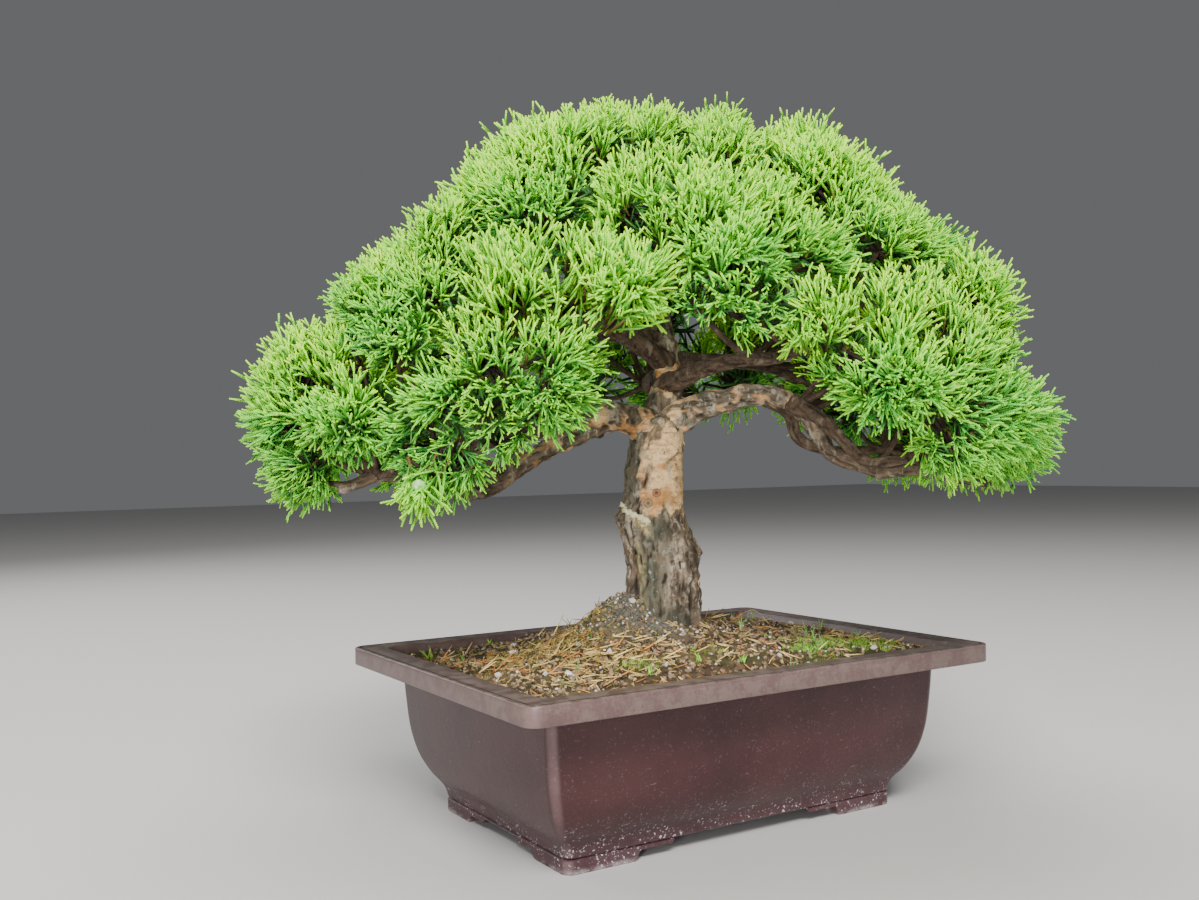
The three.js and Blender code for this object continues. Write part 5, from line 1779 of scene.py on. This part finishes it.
def add_twiglet(maker, guide):
    """A brown twiglet from the end of a tuft's twig to the foot of one of its sprays."""
    foot = guide["foot"] + guide["growth"] * 2
    route = place_route([guide["end"], foot])
    radii = [r * MM for r in TWIGLET_RADII]
    maker.tube(route, radii, 3, lambda step, turn: {"along": step * 9, "young": 1}, blunt=True)


# Foliage

# Sprays: how many kinds there are, their length, the share of the crown's surface that each one covers,
# the radii of their cords, and the turn from one cord to the next round a stem.
SPRAY_KINDS = 14
SPRAY_LENGTH = 30
SPRAY_AREA = 170
SPRAY_CORDS = {"stem": 0.95, "whip": 0.8, "stub": 0.75}
WHIPS = 7
STUBS = 2
LEAF_TURN = 2.4
SPRAY_VALUES = ("tip", "along", "woody")
# The shaded sprays inside a tuft.
INNER_KINDS = 4
INNER_SPRAYS = 6
INNER_CORDS = {"stem": 1.1, "cord": 1.25}
INNER_CORD_COUNT = 5
INNER_LOWEST = -0.2
# The crown's surface: how far a tuft's hold reaches, in its radii, and how strong a hold is the surface.
TUFT_BLEND = 1.7
TUFT_HOLD = 1.22
OWN_SURFACE = 1.12
GOLDEN_TURN = 2.39996
# Lobes: how far apart their leading tufts stand, and how deep the heart lies that their sprays fan from.
LOBE_SPACING = 92
LOBE_DEPTH = 20
SHOULDER = {"height": 356, "spread": 42, "inward": 8}
# The lowest slope of a spray on a lobe's underside, the heights over which that sets in from the hem up,
# and how far outwards a spray has to face to grow there all the same.
LOWEST_SPRAY = -0.5
CROWN_HEM = {"low": 222, "high": 258}
OUTER_SIDE = 0.35
# The feet of the sprays that carry the cone, measured from it, and the way that they hang past it.
CONE_SPRAYS = [[8, 6, 16], [-6, 7, 14], [2, 9, 10], [14, 6, 12], [9, 12, 5]]
CONE_HANG = [0, 3, -8]


def add_cord(maker, start, way, lift, length, radius, steps, tip_from, woody=0.0, tip_to=1.0):
    """One whip of cord foliage that bends towards lift as it grows, with its length and radius in
    millimetres. Gives its route."""
    route = [start]
    for k in range(steps):
        share = (k + 1) / steps
        direction = (way.normalized() + lift * share).normalized()
        route.append(route[-1] + direction * (length * MM / steps))
    radii = [mix(radius * MM, radius * MM * 0.7, (k / steps) ** 2) for k in range(steps + 1)]

    def values(step, turn):
        share = step / steps
        return {"tip": mix(tip_from, tip_to, share), "along": share * length,
                "woody": woody * (1 - smoothstep(share, 0.25, 0.6))}

    maker.tube(route, radii, 3, values, blunt=True)
    return route


def spray_mesh(draw, index):
    """A branchlet that stands up along Z: a stem, side whips round it and short stubs on those."""
    maker = MeshMaker(*SPRAY_VALUES)
    up = Vector((0, 0, 1))
    stem_bend = Vector((draw.uniform(0.1, 0.6), draw.uniform(-0.25, 0.25), 0))
    stem_length = SPRAY_LENGTH * draw.uniform(0.86, 0.97)
    stem = add_cord(maker, Vector((0, 0, 0)), up, stem_bend, stem_length, SPRAY_CORDS["stem"], 3, 0.0, 0.9)
    turn = draw.uniform(0, 2 * pi)
    for k in range(WHIPS):
        turn += LEAF_TURN + draw.uniform(-0.4, 0.4)
        share = mix(0.14, 0.62, k / (WHIPS - 1)) + draw.uniform(-0.03, 0.03)
        at = stem[0].lerp(stem[-1], share)
        out = flat_way(turn)
        way = out * draw.uniform(0.5, 0.9) + up * draw.uniform(0.7, 0.9)
        length = mix(25, 13, share) * draw.uniform(0.85, 1.15)
        lift = up * draw.uniform(0.1, 0.6) + Vector((draw.uniform(0.1, 0.5), 0, 0))
        whip = add_cord(maker, at, way, lift, length, SPRAY_CORDS["whip"], 2, 0.15)
        side = out.cross(up)
        along = (whip[-1] - whip[0]).normalized()
        for m in range(STUBS):
            sign = -1 if (m + k) % 2 else 1
            foot = whip[0].lerp(whip[-1], mix(0.38, 0.72, m) + draw.uniform(-0.07, 0.07))
            stub_way = along + side * (sign * draw.uniform(0.35, 0.7)) + up * draw.uniform(-0.25, 0.25)
            add_cord(maker, foot, stub_way, along * 0.3, draw.uniform(5.5, 9.5), SPRAY_CORDS["stub"], 1, 0.5)
    return maker.mesh("spray_" + str(index))


def inner_mesh(draw, index):
    """The shaded growth inside a tuft: a stem with a few dull cords round it."""
    maker = MeshMaker(*SPRAY_VALUES)
    up = Vector((0, 0, 1))
    bend = Vector((draw.uniform(-0.4, 0.4), draw.uniform(-0.4, 0.4), 0))
    stem = add_cord(maker, Vector((0, 0, 0)), up, bend, SPRAY_LENGTH * 0.9, INNER_CORDS["stem"], 2,
                    0.0, 1.0, 0.1)
    for k in range(INNER_CORD_COUNT):
        out = flat_way(LEAF_TURN * k + draw.uniform(-0.3, 0.3))
        foot = stem[0].lerp(stem[-1], mix(0.3, 0.8, k / (INNER_CORD_COUNT - 1)))
        way = out * draw.uniform(0.8, 1.2) + up * draw.uniform(0.3, 0.8)
        add_cord(maker, foot, way, up * 0.2, draw.uniform(13, 19), INNER_CORDS["cord"], 1, 0.0, 0.2, 0.3)
    return maker.mesh("inner_" + str(index))


def random_vector(draw):
    return Vector((draw.uniform(-1, 1), draw.uniform(-1, 1), draw.uniform(-1, 1))).normalized()


def crown_pull(place, tufts):
    """How strongly the tufts hold a place: 1 at a lone tuft's surface, and more between tufts."""
    total = 0
    for centre, radius in tufts:
        share = 1 - ((place - centre).length / (TUFT_BLEND * radius)) ** 2
        total += share * share if share > 0 else 0
    return total / (1 - 1 / TUFT_BLEND ** 2) ** 2


def crown_lobes(tufts):
    """The lobe of each tuft: the one whose leading tuft is nearest, where leaders stand well apart."""
    leaders = []
    for centre, _ in sorted(tufts, key=lambda tuft: -tuft[1]):
        if all((centre - other).length > LOBE_SPACING for other in leaders):
            leaders.append(centre)
    return [min(range(len(leaders)), key=lambda k: (centre - leaders[k]).length) for centre, _ in tufts]


def lobe_hearts(tufts, lobes):
    """The place deep in each lobe that its sprays fan out from."""
    hearts = {}
    for lobe in set(lobes):
        own = [tuft[0] for tuft, other in zip(tufts, lobes) if other == lobe]
        middle = sum(own, Vector((0, 0, 0))) / len(own)
        hearts[lobe] = middle - outward_of(middle) * LOBE_DEPTH
    return hearts


def surface_reach(centre, radius, way, near, others):
    """How far a lobe's surface lies from a tuft's centre along a way, or None if it is another's."""
    reach = TUFT_BLEND * radius
    if crown_pull(centre + way * reach, near) >= TUFT_HOLD:
        return None
    while reach > 0.7 * radius and crown_pull(centre + way * reach, near) < TUFT_HOLD:
        reach -= 1
    place = centre + way * reach
    if crown_pull(place, others) >= TUFT_HOLD:
        return None
    nearest = min(near, key=lambda tuft: (place - tuft[0]).length / tuft[1])
    own = reach / radius
    return reach if own < OWN_SURFACE * (place - nearest[0]).length / nearest[1] else None


def even_ways(draw, count, outward, lowest=-1):
    """Directions spread evenly over a ball round outward, down to a lowest height along it."""
    side = outward.orthogonal().normalized()
    over = outward.cross(side)
    for k in range(count):
        height = mix(1, lowest, (k + 0.5) / count)
        turn = GOLDEN_TURN * k + draw.uniform(-0.2, 0.2)
        flat = sqrt(1 - height ** 2)
        yield outward * height + side * (flat * cos(turn)) + over * (flat * sin(turn))


def outer_spray(draw, tuft, way, reach, heart, end):
    """A spray with its tips on the crown's surface, or None on a lobe's underside."""
    centre, radius = tuft
    fan = (centre + way * reach - heart).normalized()
    lowest = mix(-1, LOWEST_SPRAY, smoothstep(centre.z, CROWN_HEM["low"], CROWN_HEM["high"]))
    if fan.z < lowest and way.dot(outward_of(centre)) < OUTER_SIDE:
        return None
    lift = 0.4 * smoothstep(fan.z, -0.5, 0.3)
    growth = fan * 0.6 + way * 0.15 + Vector((0, 0, lift)) + random_vector(draw) * 0.24
    growth = growth.normalized()
    growth = way.lerp(growth, smoothstep(way.dot(growth), -0.2, 0.45)).normalized()
    length = SPRAY_LENGTH * draw.uniform(0.78, 1.0) * min(radius / 26, 1.1)
    foot = centre + way * reach * draw.uniform(0.84, 1.0) - growth * length
    # Painted light: sprays that face up on a lobe get a lighter, yellower tone, as if sunlit, on top of a
    # random spread.
    tone = 0.3 + 0.5 * smoothstep(fan.z, -0.4, 0.75) + draw.uniform(-0.25, 0.25)
    return {"foot": foot, "growth": growth, "length": length / SPRAY_LENGTH, "end": end,
            "kind": draw.randrange(SPRAY_KINDS), "tone": min(max(tone, 0), 1)}


def inner_sprays(draw, radius, end):
    """The shaded growth round the end of a tuft's twig."""
    guides = []
    for way in even_ways(draw, INNER_SPRAYS, Vector((0, 0, 1)), INNER_LOWEST):
        growth = (way + random_vector(draw) * 0.3).normalized()
        guides.append({"foot": end, "growth": growth, "length": 0.9 * radius / SPRAY_LENGTH, "end": end,
                       "kind": SPRAY_KINDS + draw.randrange(INNER_KINDS), "tone": 0.2})
    return guides


def neighbours(tuft, tufts):
    """The tufts whose hold reaches that of a tuft."""
    return [other for other in tufts if (other[0] - tuft[0]).length < TUFT_BLEND * (other[1] + tuft[1])]


def cone_sprays(draw, tufts, ends):
    """The hanging sprays that carry the cone, just behind it."""
    low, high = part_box("juniper_cone")
    cone = tree_axes((low + high) / 2)
    nearest = min(range(len(tufts)), key=lambda k: (tufts[k][0] - cone).length)
    guides = []
    for offset in CONE_SPRAYS:
        growth = (Vector(CONE_HANG) - Vector(offset)).normalized()
        guides.append({"foot": cone + Vector(offset), "growth": growth, "length": 0.95, "end": ends[nearest],
                       "kind": draw.randrange(SPRAY_KINDS), "tone": 0.6})
    return guides


def spray_guides(tufts, ends):
    """Where each spray stands and the way it grows, so that tips cover the crown evenly."""
    draw = random.Random(12)
    guides = []
    lobes = crown_lobes(tufts)
    hearts = lobe_hearts(tufts, lobes)
    for own, tuft, end in zip(lobes, tufts, ends):
        centre, radius = tuft
        near = [other for other, lobe in zip(tufts, lobes) if lobe == own]
        others = [other for other, lobe in zip(tufts, lobes) if lobe != own]
        near, others = neighbours(tuft, near), neighbours(tuft, others)
        for way in even_ways(draw, round(4 * pi * radius ** 2 / SPRAY_AREA), outward_of(centre)):
            reach = surface_reach(centre, radius, way, near, others)
            guide = outer_spray(draw, tuft, way, reach, hearts[own], end) if reach else None
            if guide:
                guides.append(guide)
        guides += inner_sprays(draw, radius, end)
    return guides + cone_sprays(draw, tufts, ends)


def nearest_nodes(guides):
    """The foliage node that each spray stands for: the one whose solid is nearest to its middle."""
    names = sorted(name for name in frame["nodes"] if name.startswith("foliage_"))
    total = sum(len(frame["nodes"][name].data.vertices) for name in names)
    tree = kdtree.KDTree(total)
    owners = []
    for name in names:
        for vertex in frame["nodes"][name].data.vertices:
            tree.insert(vertex.co, len(owners))
            owners.append(name)
    tree.balance()
    groups = {name: [] for name in names}
    for guide in guides:
        middle = guide["foot"] + guide["growth"] * (guide["length"] * SPRAY_LENGTH * 0.6)
        _, index, _ = tree.find(tree_point(*middle))
        groups[owners[index]].append(guide)
    return groups


def turn_way(way):
    """A direction of the tree's own axes as one of the frame's."""
    return (tree_point(*way) - tree_point(0, 0, 0)).normalized()


def build_foliage(guides):
    material = foliage_green()
    draw = random.Random(4)
    meshes = [spray_mesh(draw, i) for i in range(SPRAY_KINDS)]
    meshes += [inner_mesh(draw, i) for i in range(INNER_KINDS)]
    group = kinds("spray_kind", meshes)
    tree = spray_grower()
    for seed, (node, own) in enumerate(sorted(nearest_nodes(guides).items())):
        points = bpy.data.meshes.new("spray_points")
        points.from_pydata([tree_point(*g["foot"]) for g in own], [], [])
        growth = points.attributes.new("growth", "FLOAT_VECTOR", "POINT")
        growth.data.foreach_set("vector", [c for g in own for c in turn_way(g["growth"])])
        for name in ("length", "tone"):
            value = points.attributes.new(name, "FLOAT", "POINT")
            value.data.foreach_set("value", [g[name] for g in own])
        kind = points.attributes.new("kind", "INT", "POINT")
        kind.data.foreach_set("value", [g["kind"] for g in own])
        made = grown(node + "_sprays", points, tree, Sprays=group, Seed=seed, Material=material)
        make_piece(made, "foliage", node)
    drop_kinds(group)


# Cone and drain screens

CONE_SEAMS = 3


def build_cone():
    """A round juniper cone with shallow seams between its scales, on the CAD cone's place."""
    low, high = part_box("juniper_cone")
    centre = (low + high) / 2
    radius = (high.z - low.z) / 2
    edit = bmesh.new()
    bmesh.ops.create_uvsphere(edit, u_segments=36, v_segments=24, radius=radius)
    for vertex in edit.verts:
        angle = atan2(vertex.co.y, vertex.co.x)
        seam = abs(sin(CONE_SEAMS / 2 * angle)) ** 0.25
        vertex.co *= 1 - 0.05 * (1 - seam) + 0.02 * noise.noise(vertex.co / (1.5 * MM))
        vertex.co += centre
    made = add_object("ripe_cone", edited_mesh(edit, "ripe_cone"), cone_skin())
    make_piece(made, "cone", "juniper_cone")


def finish_screens():
    material = mesh_plastic()
    for name in ("drain_screen_left", "drain_screen_right"):
        slots = frame["nodes"][name].data.materials
        slots.clear()
        slots.append(material)


# Camera, light and floor

def add_camera():
    """The camera at the photograph's place, with its small pitch and roll."""
    forward = Vector((sin(CAMERA_YAW) * cos(CAMERA_PITCH),
                      cos(CAMERA_YAW) * cos(CAMERA_PITCH), -sin(CAMERA_PITCH)))
    right = forward.cross(Vector((0, 0, 1))).normalized()
    up = right.cross(forward)
    rolled_right = right * cos(CAMERA_ROLL) + up * sin(CAMERA_ROLL)
    rolled_up = up * cos(CAMERA_ROLL) - right * sin(CAMERA_ROLL)
    data = bpy.data.cameras.new("camera")
    data.sensor_width = SENSOR
    data.lens = FOCAL_PIXELS / PHOTO_WIDTH * SENSOR
    data.clip_start = 0.01
    data.clip_end = 50
    camera = new_object("camera", data)
    axes = Matrix((rolled_right, rolled_up, -forward)).transposed().to_4x4()
    camera.matrix_world = Matrix.Translation(CAMERA_PLACE + POT_CENTRE) @ axes
    bpy.context.scene.camera = camera


# Lamps: [name, place, size, power, colour], all turned to the crown.
LAMPS = [
    ["key", (-0.85, -1.5, 1.8), (1.0, 0.8), 94, (1, 0.98, 0.95)],
    ["fill", (1.7, -1.2, 0.9), (1.6, 1.2), 10, (0.94, 0.97, 1)],
    ["low", (-1.05, -1.05, 0.3), (0.15, 0.3), 14, (0.98, 0.98, 1)],
    ["top", (0.1, 0.3, 1.9), (1.5, 1.5), 30, (1, 1, 1)],
    ["back", (-0.6, 1.6, 1.2), (1.5, 1), 20, (1, 1, 1)],
]
LAMP_AIM = Vector((0, 0, 0.2))
FLOOR_COLOUR = (0.5, 0.49, 0.475, 1)
FLOOR_HALF = 6
SKY_COLOUR = (0.8, 0.82, 0.85, 1)
SKY_STRENGTH = 0.17


def add_area_light(name, place, size, power, colour):
    data = bpy.data.lights.new(name, "AREA")
    data.shape = "RECTANGLE"
    data.size, data.size_y = size
    data.energy = power
    data.color = colour
    light = new_object(name, data)
    light.visible_camera = False
    light.location = place
    light.rotation_euler = (POT_CENTRE + LAMP_AIM - Vector(place)).to_track_quat("-Z", "Y").to_euler()


def add_studio():
    """A plain pale floor under soft light from all round, the strongest from above the front left."""
    s = Shader("pale_floor", Base_Color=FLOOR_COLOUR, Roughness=0.75)
    edit = bmesh.new()
    bmesh.ops.create_grid(edit, x_segments=1, y_segments=1, size=FLOOR_HALF)
    add_object("floor", edited_mesh(edit, "floor"), s.material, False)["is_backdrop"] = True
    for lamp in LAMPS:
        add_area_light(*lamp)
    world = bpy.data.worlds.new("studio")
    world.use_nodes = True
    sky = world.node_tree.nodes["Background"]
    sky.inputs["Color"].default_value = SKY_COLOUR
    sky.inputs["Strength"].default_value = SKY_STRENGTH
    bpy.context.scene.world = world


add_camera()
add_studio()
build_pot()
build_soil()
build_sprouts()
build_stalk()
build_foliage(build_wood(filled_crown(crown_tufts())))
build_cone()
finish_screens()

[[list(corner) for corner in box] for box in (CAD_BOX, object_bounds())]
